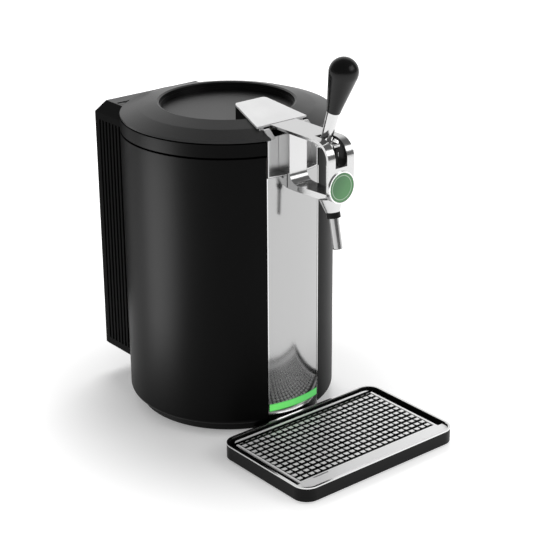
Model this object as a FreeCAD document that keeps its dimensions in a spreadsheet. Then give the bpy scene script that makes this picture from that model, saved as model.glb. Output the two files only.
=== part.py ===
import FreeCAD, Part
import os
import re
import Sketcher

# Countertop dispenser for five-litre beer kegs: an insulated round body with a hinged lid, a
# thermoelectric cooler in a ribbed housing behind it, a cast tap tower and lever in front, and
# a drip tray that hooks onto the base.
#
# Millimetres. Z is up and the tap points along -Y. Sketches are drawn about the body's own
# upright axis; every sub-part is then moved back so that the whole stands centred on the origin.

doc = FreeCAD.newDocument("KegDispenser")
sizes = doc.addObject("Spreadsheet::Sheet", "Sizes")

drivingSizes = {
    # clearances
    "joint_gap": 0.3, "running_gap": 0.5, "shadow_gap": 0.8, "shaft_play": 0.05,
    # base and feet
    "foot_height": 3, "foot_radius": 9, "foot_inset": 28, "base_thickness": 11, "base_inset": 12,
    "tongue_width": 90, "tongue_reach": 14, "tongue_thickness": 2.8,
    # round body
    "body_radius": 120, "shell_wall": 2.5, "shell_height": 316, "bottom_round": 6,
    "front_angle": 33.6, "collar_height": 15.7, "collar_wall": 3,
    "mouth_wall": 3, "mouth_flange": 5,
    "chassis_inset": 22, "chassis_height": 46, "chassis_wall": 3,
    # cold chamber
    "chamber_inset": 35.5, "liner_wall": 1.5, "liner_lip": 9,
    "pad_thickness": 3, "pad_inset": 12, "foam_floor": 16,
    # front panel
    "strip_thickness": 1.2, "band_height": 12.6, "band_proud": 0.3,
    "glow_height": 8.3, "trim_width": 1.2, "trim_depth": 2.6, "trim_proud": 0.4,
    # recess that the tap stands in
    "niche_height": 40.5, "niche_depth": 16, "niche_wall": 1.2,
    # tap tower
    "column_width": 24, "column_reach": 3.5, "elbow_radius": 12,
    "arm_width": 16, "arm_height": 7, "arm_level": 291,
    "plate_level": 358.5, "plate_thickness": 3, "plate_inset": 21.2,
    "head_reach": 73, "head_width": 35.6, "head_depth": 14, "head_back_width": 18,
    "head_flank": 2, "arch_radius": 20.5, "slot_width": 16, "slot_level": 330.5,
    "lug_width": 4, "lug_radius": 4.5,
    "badge_level": 308.7, "badge_radius": 15.9, "badge_rim_width": 1.4, "badge_thickness": 1.1,
    "rim_thickness": 1.5,
    # nozzle
    "nozzle_setback": 12.5, "nozzle_level": 278.5, "nozzle_lean": 12, "funnel_radius": 8,
    "funnel_height": 15, "funnel_taper": 19, "collar_radius": 7.6, "nozzle_collar_height": 6.5,
    "nozzle_radius": 5.3, "nozzle_wall": 0.9, "nozzle_length": 34, "nozzle_insertion": 5,
    "rod_radius": 2.5, "rod_setback": 9, "rod_length": 30,
    "rod_cap_radius": 3.6, "rod_cap": 3, "guide_depth": 24,
    # lever
    "pivot_setback": 25, "pivot_level": 353, "pivot_radius": 1.8, "lever_lean": 18.6,
    "hub_radius": 6, "toe_level": 3.7, "toe_radius": 2,
    "toe_width": 8, "stem_width": 14.4, "stem_radius": 6.2, "stem_top_radius": 7, "stem_length": 37,
    "handle_base_radius": 7.9, "handle_radius": 15.7, "handle_length": 62.6,
    "handle_flare": 10,
    # lid
    "lid_height": 13, "lid_wall": 2.5, "lid_edge": 2.2, "lid_crown": 1, "lid_fall": 4.8,
    "shoulder_inset": 21, "dish_margin": 8.5, "dish_depth": 9.8, "dish_step": 1.5,
    "step_depth": 5, "plug_margin": 4.5, "plug_thickness": 10, "gasket_inset": 19,
    "gasket_width": 5, "lid_slot_width": 62, "lid_slot_inset": 29, "slot_trim_width": 7.7,
    "slot_trim_inset": 8, "slot_trim_run": 10.5, "slot_trim_thickness": 2.4,
    "liner_plate": 1.8,
    # lid hinge, sunk level with the top of the rear housing
    "tail_width": 124, "apron_wall": 1.2, "hinge_knuckle": 3.6, "hinge_pin_radius": 1.6,
    "knuckle_width": 10, "knuckle_place": 50,
    # tap cover
    "flap_inset": 23.5, "flap_length": 55.5, "cover_width": 69, "cover_back_width": 45,
    "cover_rise": 11.5, "cover_thickness": 2.2, "flap_nose": 3.2, "cover_drop": 4.5,
    "cover_pin_radius": 1, "cover_lug": 6, "cover_inset": 1.5,
    "cover_frame_wall": 2, "cover_corner": 5, "port_inset": 54, "port_radius": 7,
    # rear housing
    "housing_width": 162, "housing_reach": 26.5, "housing_bottom": 33, "housing_top": 341,
    "housing_wall": 3.6, "housing_bevel": 16, "housing_bevel_height": 10, "housing_heel": 4,
    "rib_pitch": 6.6, "rib_gap": 3.2, "rib_groove": 1.7, "rib_margin": 8,
    "vent_width": 112, "vent_bottom": 84, "vent_height": 160, "vent_slot": 3.4,
    "vent_pitch": 8, "vent_border": 9, "panel_thickness": 2.6, "screw_radius": 3,
    "screw_head": 1.4, "screw_length": 9,
    # cooling unit
    "cold_block_width": 46, "cold_block_height": 60, "cold_level": 164, "cold_inset": 25,
    "module_side": 40, "module_thickness": 4, "sink_width": 90, "sink_height": 120,
    "sink_base": 5, "fin_depth": 15, "fin_thickness": 1.4, "fin_pitch": 6,
    "fan_side": 92, "fan_depth": 20, "fan_bore": 43.5, "fan_corner": 5, "hub_size": 17,
    "blade_gap": 1.5, "blade_chord": 16, "blade_thickness": 1.6, "fan_shaft_radius": 2,
    "fan_hub_depth": 13, "strut_width": 5, "strut_depth": 3,
    # mains inlet and switch
    "inlet_place": 48, "inlet_level": 56, "inlet_width": 27, "inlet_height": 20,
    "inlet_depth": 18, "inlet_wall": 2, "blade_width": 4, "blade_height": 2,
    "switch_width": 21, "switch_height": 26, "switch_depth": 14, "switch_wall": 2,
    "bezel_recess": 1, "rocker_tilt": 8, "rocker_pin": 1.2,
    # electronics in the base
    "board_width": 90, "board_depth": 60, "board_thickness": 1.6, "board_level": 24,
    "supply_width": 110, "supply_depth": 52, "supply_height": 30, "post_radius": 3,
    "relay_width": 20, "relay_depth": 18, "relay_place": 20, "relay_back": 30, "relay_height": 11,
    "can_radius": 5.4, "can_place": 22, "can_back": 36, "can_height": 14,
    # drip tray
    "tray_width": 223.6, "tray_gap": 3, "tray_depth": 143.5, "tray_level": 18.4,
    "tray_corner": 17, "tray_wall": 3, "tray_floor": 8.5, "tray_floor_thickness": 2,
    "rim_height": 1.5, "rim_width": 2.6, "grille_inset": 7.5, "grille_front_inset": 4,
    "grille_thickness": 1.5, "grille_corner": 10, "grille_drop": 1.2, "grille_border": 4,
    "grille_front_border": 17, "grille_pitch": 8.2, "grille_row": 8.5, "grille_slot": 5.6,
    "grille_slot_depth": 4.2, "support_width": 3, "tray_foot_radius": 7, "tray_foot_place": 88,
}

# sizes that follow others: the chamber and what stands on the round body keep their distance
# from the shell, what takes the keg keeps its margin to it, and the tap follows its front
linkedSizes = {
    "keg_radius": "body_radius - chamber_inset",
    "foot_circle": "body_radius - foot_inset",
    "chassis_radius": "body_radius - chassis_inset",
    "column_front": "body_radius + column_reach",
    "elbow_front": "column_front + elbow_radius",
    "plate_back": "body_radius - plate_inset",
    "head_front": "body_radius + head_reach",
    "pivot_front": "head_front - pivot_setback",
    "rod_front": "head_front - rod_setback",
    "nozzle_front": "head_front - nozzle_setback",
    "shoulder_radius": "body_radius - shoulder_inset",
    "dish_radius": "keg_radius - dish_margin",
    "plug_radius": "keg_radius - plug_margin",
    "gasket_radius": "body_radius - gasket_inset",
    "lid_slot_back": "body_radius - lid_slot_inset",
    "slot_trim_front": "body_radius - slot_trim_inset",
    "cover_front": "body_radius - flap_inset",
    "cover_back": "cover_front - flap_length",
    "cover_pivot": "cover_front - flap_nose",
    "port_front": "body_radius - port_inset",
    "housing_back": "body_radius + housing_reach",
    "cold_block_back": "body_radius - cold_inset",
    "tray_back": "body_radius + tray_gap",
    "tray_front": "tray_back + tray_depth",
}

rows = [(alias, str(value)) for alias, value in drivingSizes.items()]
rows += [(alias, f"={formula}") for alias, formula in linkedSizes.items()]
for row, (alias, content) in enumerate(rows, start=1):
    sizes.set(f"A{row}", alias)
    sizes.set(f"B{row}", content)
    sizes.setAlias(f"B{row}", alias)
doc.recompute()

# levels and reaches that several sub-parts share, worked out from the driving sizes
bodyBottom = "(foot_height + base_thickness)"
bodyTop = f"({bodyBottom} + shell_height)"
collarBottom = f"({bodyTop} + shadow_gap)"
collarTop = f"({collarBottom} + collar_height)"
lidBottom = f"({collarTop} + shadow_gap)"
lidTop = f"({lidBottom} + lid_height)"
dishFloor = f"({lidTop} + lid_crown - dish_depth)"
shellInside = "(body_radius - shell_wall)"
nicheFloor = f"({collarTop} - niche_height)"
nicheBack = "(body_radius - niche_depth)"
nicheHalf = "(body_radius * sin(front_angle / 2))"
glowBottom = f"({bodyBottom} + joint_gap + band_height + joint_gap)"
stripBottom = f"({glowBottom} + glow_height + joint_gap)"
chassisTop = f"({bodyBottom} + chassis_height)"
linerBottom = f"({chassisTop} + foam_floor)"
lipLevel = f"({bodyTop} - shell_wall)"
linerOutside = "(keg_radius + liner_wall)"
mouthOutside = "(keg_radius + mouth_wall)"
coldBack = "cold_block_back"
sinkFront = f"({coldBack} + module_thickness)"
fanFront = f"({sinkFront} + sink_base + fin_depth + joint_gap)"
housingInside = "(housing_back - housing_wall)"
grilleLevel = "(tray_level - grille_drop)"
trimAngle = "((trim_width + 2 * joint_gap) * 180 / (pi * body_radius))"
coverEar = "(lid_slot_width / 2 - running_gap - cover_lug)"
coverPivot = "(plate_level - cover_drop)"
columnBack = f"({nicheBack} + niche_wall + joint_gap)"
columnFloor = f"({nicheFloor} + strip_thickness + joint_gap)"
plateBottom = "(plate_level - plate_thickness)"
archCentre = "(head_front - arch_radius)"
archLow = "(plate_level - arch_radius)"
headBack = "(head_front - head_depth)"
headFoot = "(badge_level - head_width / 2)"
flapBottom = "(plate_level - cover_thickness)"
noseSweep = "sqrt(flap_nose ^ 2 + cover_drop ^ 2)"
tailInside = "(body_radius + shadow_gap)"
hingeBack = f"({tailInside} + hinge_knuckle)"
hingeLevel = "(housing_top - hinge_knuckle)"
hingeFloor = f"({hingeLevel} - hinge_knuckle - running_gap)"


def bound(text):
    """Point every size named in an expression at its cell in the spreadsheet."""
    return re.sub(r"\b([a-z]+(?:_[a-z]+)+)\b", r"Sizes.\1", str(text))


def number(text):
    return float(sizes.evalExpression(bound(text)))


def newBody(name):
    body = doc.addObject("PartDesign::Body", name)
    body.Label = name
    return body


def originFeature(body, role):
    return next(part for part in body.Origin.OriginFeatures if part.Role == role)


def sketchOn(body, plane, offset="0"):
    """Start a sketch on one of the body's origin planes, moved along the plane's normal."""
    sketch = body.newObject("Sketcher::SketchObject", f"{body.Name}Sketch")
    sketch.AttachmentSupport = [(originFeature(body, f"{plane}_Plane"), "")]
    sketch.MapMode = "FlatFace"
    sketch.setExpression("AttachmentOffset.Base.z", bound(offset))
    return sketch


def pin(sketch, geometry, point, name, x, y):
    """Hold one point of a sketch at the place that two expressions give."""
    for kind, axis, text in (("DistanceX", "x", x), ("DistanceY", "y", y)):
        place = Sketcher.Constraint(kind, -1, 1, geometry, point, number(text))
        index = sketch.addConstraint(place)
        sketch.renameConstraint(index, f"{name}{axis}")
        sketch.setExpression(f"Constraints.{name}{axis}", bound(text))


def arcBetween(start, end, radius):
    """Arc from start to end; a positive radius turns it counter-clockwise."""
    middle = (start + end) * 0.5
    chord = end - start
    side = FreeCAD.Vector(-chord.y, chord.x, 0).normalize()
    rise = max(radius * radius - (chord.Length / 2) ** 2, 0) ** 0.5
    turn = 1 if radius > 0 else -1
    centre = middle + side * rise * turn
    crown = centre - side * abs(radius) * turn
    return Part.Arc(start, crown, end)


def outline(sketch, *corners):
    """Closed outline. A corner is (x, y), or (x, y, radius) where an arc arrives at it."""
    first = sketch.GeometryCount
    count = len(corners)
    points = [FreeCAD.Vector(number(corner[0]), number(corner[1]), 0) for corner in corners]
    starts = []
    ends = []
    for index in range(count):
        nextIndex = (index + 1) % count
        start = points[index]
        end = points[nextIndex]
        if len(corners[nextIndex]) == 3:
            edge = arcBetween(start, end, number(corners[nextIndex][2]))
            geometry = sketch.addGeometry(edge, False)
            reverse = sketch.getPoint(geometry, 1).distanceToPoint(start) > 1e-6
            starts.append((geometry, 2 if reverse else 1))
            ends.append((geometry, 1 if reverse else 2))
            radius = corners[nextIndex][2]
            if abs((end - start).Length - 2 * abs(number(radius))) < 1e-6:
                # the centre of a half circle is held in line with its two ends
                upright = abs(end.x - start.x) < 1e-6
                kind = "DistanceX" if upright else "DistanceY"
                line = corners[nextIndex][0 if upright else 1]
                place = Sketcher.Constraint(kind, -1, 1, geometry, 3, number(line))
                text = bound(line)
            else:
                place = Sketcher.Constraint("Radius", geometry, abs(number(radius)))
                text = bound(f"abs({radius})")
            held = sketch.addConstraint(place)
            sketch.renameConstraint(held, f"arc{geometry}")
            sketch.setExpression(f"Constraints.arc{geometry}", text)
        else:
            geometry = sketch.addGeometry(Part.LineSegment(start, end), False)
            starts.append((geometry, 1))
            ends.append((geometry, 2))
    for index in range(count):
        joint = Sketcher.Constraint("Coincident", *ends[index], *starts[(index + 1) % count])
        sketch.addConstraint(joint)
        geometry, point = starts[index]
        pin(sketch, geometry, point, f"p{first + index}", corners[index][0], corners[index][1])


def rectangle(sketch, left, low, right, high):
    outline(sketch, (left, low), (right, low), (right, high), (left, high))


def centred(sketch, width, low, high):
    rectangle(sketch, f"-({width}) / 2", low, f"({width}) / 2", high)


def roundedBox(sketch, width, low, high, corner):
    """Rectangle about the plane's upright axis with four rounded corners."""
    half = f"({width}) / 2"
    outline(
        sketch,
        (f"-{half} + {corner}", low, corner), (f"{half} - {corner}", low),
        (half, f"{low} + {corner}", corner), (half, f"{high} - {corner}"),
        (f"{half} - {corner}", high, corner), (f"-{half} + {corner}", high),
        (f"-{half}", f"{high} - {corner}", corner), (f"-{half}", f"{low} + {corner}"),
    )


def circle(sketch, radius, x="0", y="0"):
    centre = FreeCAD.Vector(number(x), number(y), 0)
    disc = Part.Circle(centre, FreeCAD.Vector(0, 0, 1), number(radius))
    geometry = sketch.addGeometry(disc, False)
    pin(sketch, geometry, 3, f"c{geometry}", x, y)
    index = sketch.addConstraint(Sketcher.Constraint("Radius", geometry, number(radius)))
    sketch.renameConstraint(index, f"r{geometry}")
    sketch.setExpression(f"Constraints.r{geometry}", bound(radius))


def extrude(body, kind, sketch, length, symmetric=False, reverse=False, taper=None):
    feature = body.newObject(f"PartDesign::{kind}", f"{body.Name}{kind}")
    feature.Profile = sketch
    feature.SideType = "Symmetric" if symmetric else "One side"
    feature.Reversed = reverse
    feature.setExpression("Length", bound(length))
    if taper:
        feature.setExpression("TaperAngle", bound(taper))
    return feature


def pad(body, sketch, length, **options):
    return extrude(body, "Pad", sketch, length, **options)


def pocket(body, sketch, length, **options):
    return extrude(body, "Pocket", sketch, length, **options)


def spin(body, sketch, angle="360", cut=False):
    """Turn a profile about the body's upright axis, evenly to both sides of the front."""
    kind = "Groove" if cut else "Revolution"
    feature = body.newObject(f"PartDesign::{kind}", f"{body.Name}{kind}")
    feature.Profile = sketch
    feature.ReferenceAxis = (sketch, ["V_Axis"])
    feature.Midplane = True
    feature.setExpression("Angle", bound(angle))
    return feature


def linePattern(body, features, axis, spacing, count, reverse=False):
    pattern = body.newObject("PartDesign::LinearPattern", f"{body.Name}Row")
    pattern.Originals = features
    pattern.Direction = (originFeature(body, f"{axis}_Axis"), [""])
    pattern.Mode = "Spacing"
    pattern.Reversed = reverse
    pattern.setExpression("Offset", bound(spacing))
    pattern.setExpression("Occurrences", bound(count))
    body.Tip = pattern
    return pattern


def circlePattern(body, features, count):
    pattern = body.newObject("PartDesign::PolarPattern", f"{body.Name}Circle")
    pattern.Originals = features
    pattern.Axis = (originFeature(body, "Z_Axis"), [""])
    pattern.Occurrences = count
    body.Tip = pattern
    return pattern


def mirror(body, features, plane="YZ"):
    pattern = body.newObject("PartDesign::Mirrored", f"{body.Name}Mirror")
    pattern.Originals = features
    pattern.MirrorPlane = (originFeature(body, f"{plane}_Plane"), [""])
    body.Tip = pattern
    return pattern


def place(body, front="0", level="0", lean="0", aside="0"):
    """Stand a body at its distance in front of the upright axis, leaning forward by an angle."""
    body.Placement = FreeCAD.Placement(
        FreeCAD.Vector(0, 0, 0), FreeCAD.Rotation(FreeCAD.Vector(1, 0, 0), 1)
    )
    body.setExpression("Placement.Rotation.Angle", bound(lean))
    body.setExpression("Placement.Base.x", bound(aside))
    body.setExpression("Placement.Base.y", bound(f"(tray_front - housing_back) / 2 - ({front})"))
    body.setExpression("Placement.Base.z", bound(level))
    return body


# ---------------------------------------------------------------- base


def basePlate():
    body = newBody("base_plate")
    disc = sketchOn(body, "XY", "foot_height")
    circle(disc, "body_radius - base_inset")
    pad(body, disc, "base_thickness")
    tongue = sketchOn(body, "XY", "foot_height + joint_gap")
    centred(tongue, "tongue_width", "-tray_back - tongue_reach", "-foot_circle")
    pad(body, tongue, "tongue_thickness")
    return place(body)


def rubberFeet():
    body = newBody("rubber_feet")
    foot = sketchOn(body, "XY")
    circle(foot, "foot_radius", "foot_circle * cos(45)", "foot_circle * sin(45)")
    circlePattern(body, [pad(body, foot, "foot_height")], 4)
    return place(body)


def chassis():
    """Ring on the base that carries the insulated chamber, with a flange at its head."""
    body = newBody("chassis")
    inside = "chassis_radius - chassis_wall"
    profile = sketchOn(body, "YZ")
    outline(
        profile, (f"-({inside})", bodyBottom), ("-chassis_radius", bodyBottom),
        ("-chassis_radius", chassisTop), ("-(chassis_radius - foot_radius)", chassisTop),
        ("-(chassis_radius - foot_radius)", f"{chassisTop} - chassis_wall"),
        (f"-({inside})", f"{chassisTop} - chassis_wall"),
    )
    spin(body, profile)
    return place(body)


def powerSupply():
    body = newBody("power_supply")
    block = sketchOn(body, "XY", bodyBottom)
    centred(block, "supply_width", "joint_gap", "supply_depth")
    pad(body, block, "supply_height")
    return place(body)


def controlBoard():
    """Circuit board on four posts, with a relay and a capacitor."""
    body = newBody("control_board")
    board = sketchOn(body, "XY", "board_level")
    centred(board, "board_width", "-board_depth - running_gap", "-running_gap")
    pad(body, board, "board_thickness")
    post = sketchOn(body, "XY", bodyBottom)
    circle(post, "post_radius", "board_width / 2 - 2 * post_radius", "-board_depth + 2 * post_radius")
    low = pad(body, post, f"board_level - {bodyBottom}")
    row = sketchOn(body, "XY", bodyBottom)
    circle(row, "post_radius", "board_width / 2 - 2 * post_radius", "-3 * post_radius")
    high = pad(body, row, f"board_level - {bodyBottom}")
    mirror(body, [low, high])
    relay = sketchOn(body, "XY", "board_level + board_thickness")
    rectangle(relay, "-relay_place - relay_width / 2", "-relay_back - relay_depth",
              "relay_width / 2 - relay_place", "-relay_back")
    pad(body, relay, "relay_height")
    can = sketchOn(body, "XY", "board_level + board_thickness")
    circle(can, "can_radius", "can_place", "-can_back")
    pad(body, can, "can_height")
    return place(body)


# ---------------------------------------------------------------- round body


def bodyShell():
    """Outer shell: open at the front for the steel panel and at the back for the cooler."""
    body = newBody("body_shell")
    profile = sketchOn(body, "YZ")
    outline(
        profile, (f"-({shellInside} - bottom_round)", bodyBottom),
        ("-(body_radius - bottom_round)", bodyBottom),
        ("-body_radius", f"{bodyBottom} + bottom_round", "-bottom_round"),
        ("-body_radius", bodyTop), (f"-{shellInside}", bodyTop),
        (f"-{shellInside}", f"{bodyBottom} + bottom_round"),
        (f"-({shellInside} - bottom_round)", f"{bodyBottom} + shell_wall"),
    )
    spin(body, profile)
    front = sketchOn(body, "YZ")
    rectangle(front, "-body_radius - foot_height", "0", "-chassis_radius",
              f"{bodyTop} + foot_height")
    spin(body, front, f"front_angle + 2 * {trimAngle}", cut=True)
    back = sketchOn(body, "XZ")
    centred(back, "fan_side + 2 * shell_wall", "cold_level - sink_height / 2 - shell_wall",
            "cold_level + sink_height / 2 + shell_wall")
    pocket(body, back, "body_radius + shell_wall")
    return place(body)


def mouthRing():
    """Ring round the mouth of the chamber. It stands on the liner's lip and its flange carries
    the deck."""
    body = newBody("mouth_ring")
    profile = sketchOn(body, "YZ")
    flange = f"{collarTop} - collar_wall - joint_gap"
    outline(
        profile, ("-keg_radius", f"{lipLevel} + liner_wall"), ("-keg_radius", collarTop),
        (f"-{mouthOutside}", collarTop), (f"-{mouthOutside}", flange),
        (f"-({mouthOutside} + mouth_flange)", flange),
        (f"-({mouthOutside} + mouth_flange)", f"{flange} - collar_wall"),
        (f"-{mouthOutside}", f"{flange} - collar_wall"),
        (f"-{mouthOutside}", f"{lipLevel} + liner_wall"),
    )
    spin(body, profile)
    return place(body)


def collarRing():
    """Deck round the mouth ring with a skirt above the shell, notched in front for the tap."""
    body = newBody("collar_ring")
    profile = sketchOn(body, "YZ")
    inner = f"({mouthOutside} + joint_gap)"
    outline(
        profile, (f"-{inner}", f"{collarTop} - collar_wall"), (f"-{inner}", collarTop),
        ("-body_radius", collarTop),
        ("-body_radius", collarBottom), ("-(body_radius - collar_wall)", collarBottom),
        ("-(body_radius - collar_wall)", f"{collarTop} - collar_wall"),
    )
    spin(body, profile)
    notch = sketchOn(body, "XY", f"{collarTop} + collar_wall")
    centred(notch, f"2 * ({nicheHalf} + joint_gap)", "-body_radius * 1.1",
            f"-({nicheBack} - joint_gap)")
    pocket(body, notch, "collar_height + 2 * collar_wall")
    return place(body)


def insulationSleeve():
    """Foam between shell and liner, with a floor, cut away for the tap recess and the cooler."""
    body = newBody("insulation_sleeve")
    outside = f"({shellInside} - joint_gap)"
    profile = sketchOn(body, "YZ")
    outline(
        profile, ("0", chassisTop), (f"-{outside}", chassisTop), (f"-{outside}", lipLevel),
        (f"-({linerOutside} + joint_gap)", lipLevel),
        (f"-({linerOutside} + joint_gap)", linerBottom), ("0", linerBottom),
    )
    spin(body, profile)
    front = sketchOn(body, "XY", bodyTop)
    centred(front, f"2 * ({nicheHalf} + joint_gap)", "-body_radius * 1.1",
            f"-({nicheBack} - joint_gap)")
    pocket(body, front, "shell_height")
    back = sketchOn(body, "XZ")
    centred(back, "sink_width + 2 * joint_gap", "cold_level - sink_height / 2 - joint_gap",
            "cold_level + sink_height / 2 + joint_gap")
    pocket(body, back, "body_radius")
    return place(body)


def kegLiner():
    """Aluminium cup that the keg stands in, with a lip that rests on the foam."""
    body = newBody("keg_liner")
    lip = f"({linerOutside} + liner_lip)"
    profile = sketchOn(body, "YZ")
    outline(
        profile, ("0", linerBottom), (f"-{linerOutside}", linerBottom),
        (f"-{linerOutside}", lipLevel), (f"-{lip}", lipLevel),
        (f"-{lip}", f"{lipLevel} + liner_wall"), ("-keg_radius", f"{lipLevel} + liner_wall"),
        ("-keg_radius", f"{linerBottom} + liner_wall"), ("0", f"{linerBottom} + liner_wall"),
    )
    spin(body, profile)
    return place(body)


def kegPad():
    body = newBody("keg_pad")
    disc = sketchOn(body, "XY", f"{linerBottom} + liner_wall")
    circle(disc, "keg_radius - pad_inset")
    circle(disc, "keg_radius / 3")
    pad(body, disc, "pad_thickness")
    return place(body)


# ---------------------------------------------------------------- front panel


def frontBlock(name, low, high, radius):
    """Segment of the front panel: round in front, flat where it backs onto the chamber."""
    body = newBody(name)
    segment = sketchOn(body, "XY", low)
    half = f"({radius}) * sin(front_angle / 2)"
    reach = f"-({radius}) * cos(front_angle / 2)"
    heel = f"{nicheBack} * tan(front_angle / 2)"
    outline(
        segment, (heel, f"-{nicheBack}"), (f"-{heel}", f"-{nicheBack}"),
        (f"-{half}", reach), (half, reach, radius),
    )
    pad(body, segment, f"({high}) - ({low})")
    return place(body)


def frontCarrier():
    return frontBlock("front_carrier", stripBottom, f"{nicheFloor} - joint_gap",
                      "body_radius - strip_thickness - joint_gap")


def footBand():
    return frontBlock("foot_band", f"{bodyBottom} + joint_gap", f"{glowBottom} - joint_gap",
                      "body_radius + band_proud")


def lightGuide():
    return frontBlock("light_guide", glowBottom, f"{glowBottom} + glow_height",
                      "body_radius + band_proud / 2")


def frontStrip():
    body = newBody("front_strip")
    profile = sketchOn(body, "YZ")
    rectangle(profile, "-body_radius", stripBottom, "-(body_radius - strip_thickness)",
              f"{nicheFloor} - joint_gap")
    spin(body, profile, "front_angle")
    return place(body)


def stripTrim():
    """Bright bead down each edge of the steel panel."""
    body = newBody("strip_trim")
    bead = sketchOn(body, "XY", f"{bodyBottom} + joint_gap")
    centred(bead, "trim_width", "-(body_radius + trim_proud)",
            "-(body_radius + trim_proud - trim_depth)")
    bead.setExpression("AttachmentOffset.Rotation.Angle", bound(f"(front_angle + {trimAngle}) / 2"))
    length = f"{nicheFloor} - {bodyBottom} - 2 * joint_gap"
    mirror(body, [pad(body, bead, length)])
    return place(body)


def nicheLiner():
    """Metal tray set into the top of the body behind the tap column."""
    body = newBody("niche_liner")
    tray = sketchOn(body, "XY", nicheFloor)
    reach = f"-sqrt(body_radius ^ 2 - {nicheHalf} ^ 2)"
    outline(
        tray, (nicheHalf, f"-{nicheBack}"), (f"-{nicheHalf}", f"-{nicheBack}"),
        (f"-{nicheHalf}", reach), (nicheHalf, reach, "body_radius"),
    )
    pad(body, tray, "niche_height")
    hollow = sketchOn(body, "XY", f"{nicheFloor} + niche_height")
    centred(hollow, f"2 * ({nicheHalf} - niche_wall)", "-body_radius - niche_wall",
            f"-({nicheBack} + niche_wall)")
    pocket(body, hollow, "niche_height - strip_thickness")
    return place(body)


# ---------------------------------------------------------------- tap tower


def tapBody():
    """One casting: column, elbow and arm below; above, a thin plate that bends down over the
    arch into the face of the head, which is solid behind and slotted for the lever."""
    body = newBody("tap_body")
    middle = "(arch_radius - plate_thickness / 2)"
    core = sketchOn(body, "YZ")
    outline(
        core, (f"-{archCentre}", headFoot), (f"-{archCentre}", f"{archLow} + {middle}"),
        (f"-({archCentre} + {middle})", archLow, middle),
        (f"-({archCentre} + {middle})", headFoot),
    )
    pad(body, core, "head_width", symmetric=True)
    flank = sketchOn(body, "XY", plateBottom)
    outline(
        flank, ("head_width", "-(head_front - head_flank)"),
        ("head_width / 2", "-(head_front - head_flank)"),
        ("head_back_width / 2", f"-{headBack}"), ("0", f"-{headBack}"), ("0", "-plate_back"),
        ("head_width", "-plate_back"),
    )
    mirror(body, [pocket(body, flank, "plate_level")])

    shell = sketchOn(body, "YZ")
    inner = "(arch_radius - plate_thickness)"
    outline(
        shell, ("-plate_back", plateBottom), (f"-{archCentre}", plateBottom),
        (f"-({archCentre} + {inner})", archLow, inner), (f"-({archCentre} + {inner})", headFoot),
        ("-head_front", headFoot), ("-head_front", archLow),
        (f"-{archCentre}", "plate_level", "-arch_radius"), ("-plate_back", "plate_level"),
    )
    pad(body, shell, "head_width", symmetric=True)

    chin = sketchOn(body, "XZ")
    outline(
        chin, ("head_width", f"{headFoot} - arm_height"), ("head_width", "badge_level"),
        ("head_width / 2", "badge_level"), ("-head_width / 2", "badge_level", "-head_width / 2"),
        ("-head_width", "badge_level"), ("-head_width", f"{headFoot} - arm_height"),
    )
    pocket(body, chin, "3 * head_front", symmetric=True)

    column = sketchOn(body, "XY", columnFloor)
    centred(column, "column_width", "-column_front", f"-{columnBack}")
    pad(body, column, f"{plateBottom} - {columnFloor} + plate_thickness / 2")

    elbow = sketchOn(body, "YZ")
    strip = "(body_radius + joint_gap)"
    outline(
        elbow, (f"-{columnBack}", columnFloor), (f"-{strip}", columnFloor),
        (f"-{strip}", "arm_level"), ("-elbow_front", "arm_level"),
        ("-elbow_front", "arm_level + arm_height"),
        ("-column_front", "arm_level + arm_height + elbow_radius", "elbow_radius"),
        (f"-{columnBack}", "arm_level + arm_height + elbow_radius"),
    )
    pad(body, elbow, "column_width", symmetric=True)

    arm = sketchOn(body, "XY", "arm_level")
    outline(
        arm, ("-column_width / 2", "-(elbow_front - head_flank)"),
        ("-arm_width / 2", f"-({headBack} + head_flank)"),
        ("arm_width / 2", f"-({headBack} + head_flank)"),
        ("column_width / 2", "-(elbow_front - head_flank)"),
    )
    pad(body, arm, "arm_height")

    funnel = sketchOn(body, "XY", "nozzle_level")
    circle(funnel, "funnel_radius")
    funnel.AttachmentOffset = FreeCAD.Placement(
        FreeCAD.Vector(0, 0, 0), FreeCAD.Rotation(FreeCAD.Vector(-1, 0, 0), 1)
    )
    funnel.setExpression("AttachmentOffset.Rotation.Angle", bound("nozzle_lean"))
    funnel.setExpression("AttachmentOffset.Base.y", bound("-nozzle_front"))
    funnel.setExpression("AttachmentOffset.Base.z", bound("nozzle_level"))
    pad(body, funnel, "funnel_height", taper="funnel_taper")

    slot = sketchOn(body, "XZ", "pivot_front - hub_radius - 2 * running_gap")
    half = "slot_width / 2"
    outline(
        slot, (f"-{half}", "plate_level + slot_width"), (f"-{half}", f"slot_level + {half}"),
        (half, f"slot_level + {half}", half), (half, "plate_level + slot_width"),
    )
    pocket(body, slot, "arch_radius * 2", reverse=True)

    lug = sketchOn(body, "YZ", "slot_width / 2")
    outline(
        lug, ("-(pivot_front + lug_radius)", f"{plateBottom} + plate_thickness / 2"),
        ("-(pivot_front + lug_radius)", "pivot_level"),
        ("-(pivot_front - lug_radius)", "pivot_level", "lug_radius"),
        ("-(pivot_front - lug_radius)", f"{plateBottom} + plate_thickness / 2"),
    )
    mirror(body, [pad(body, lug, "lug_width")])
    bore = sketchOn(body, "YZ")
    circle(bore, "pivot_radius + shaft_play", "-pivot_front", "pivot_level")
    pocket(body, bore, "head_width", symmetric=True)

    guide = sketchOn(body, "XY", "slot_level + slot_width / 2")
    circle(guide, "rod_radius + shaft_play", "0", "-rod_front")
    pocket(body, guide, "slot_width / 2 + guide_depth")
    return place(body)


def badge(name, radius, low, thickness, hole=None):
    body = newBody(name)
    disc = sketchOn(body, "XZ", low)
    circle(disc, radius, "0", "badge_level")
    if hole:
        circle(disc, hole, "0", "badge_level")
    pad(body, disc, thickness)
    return place(body)


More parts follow.
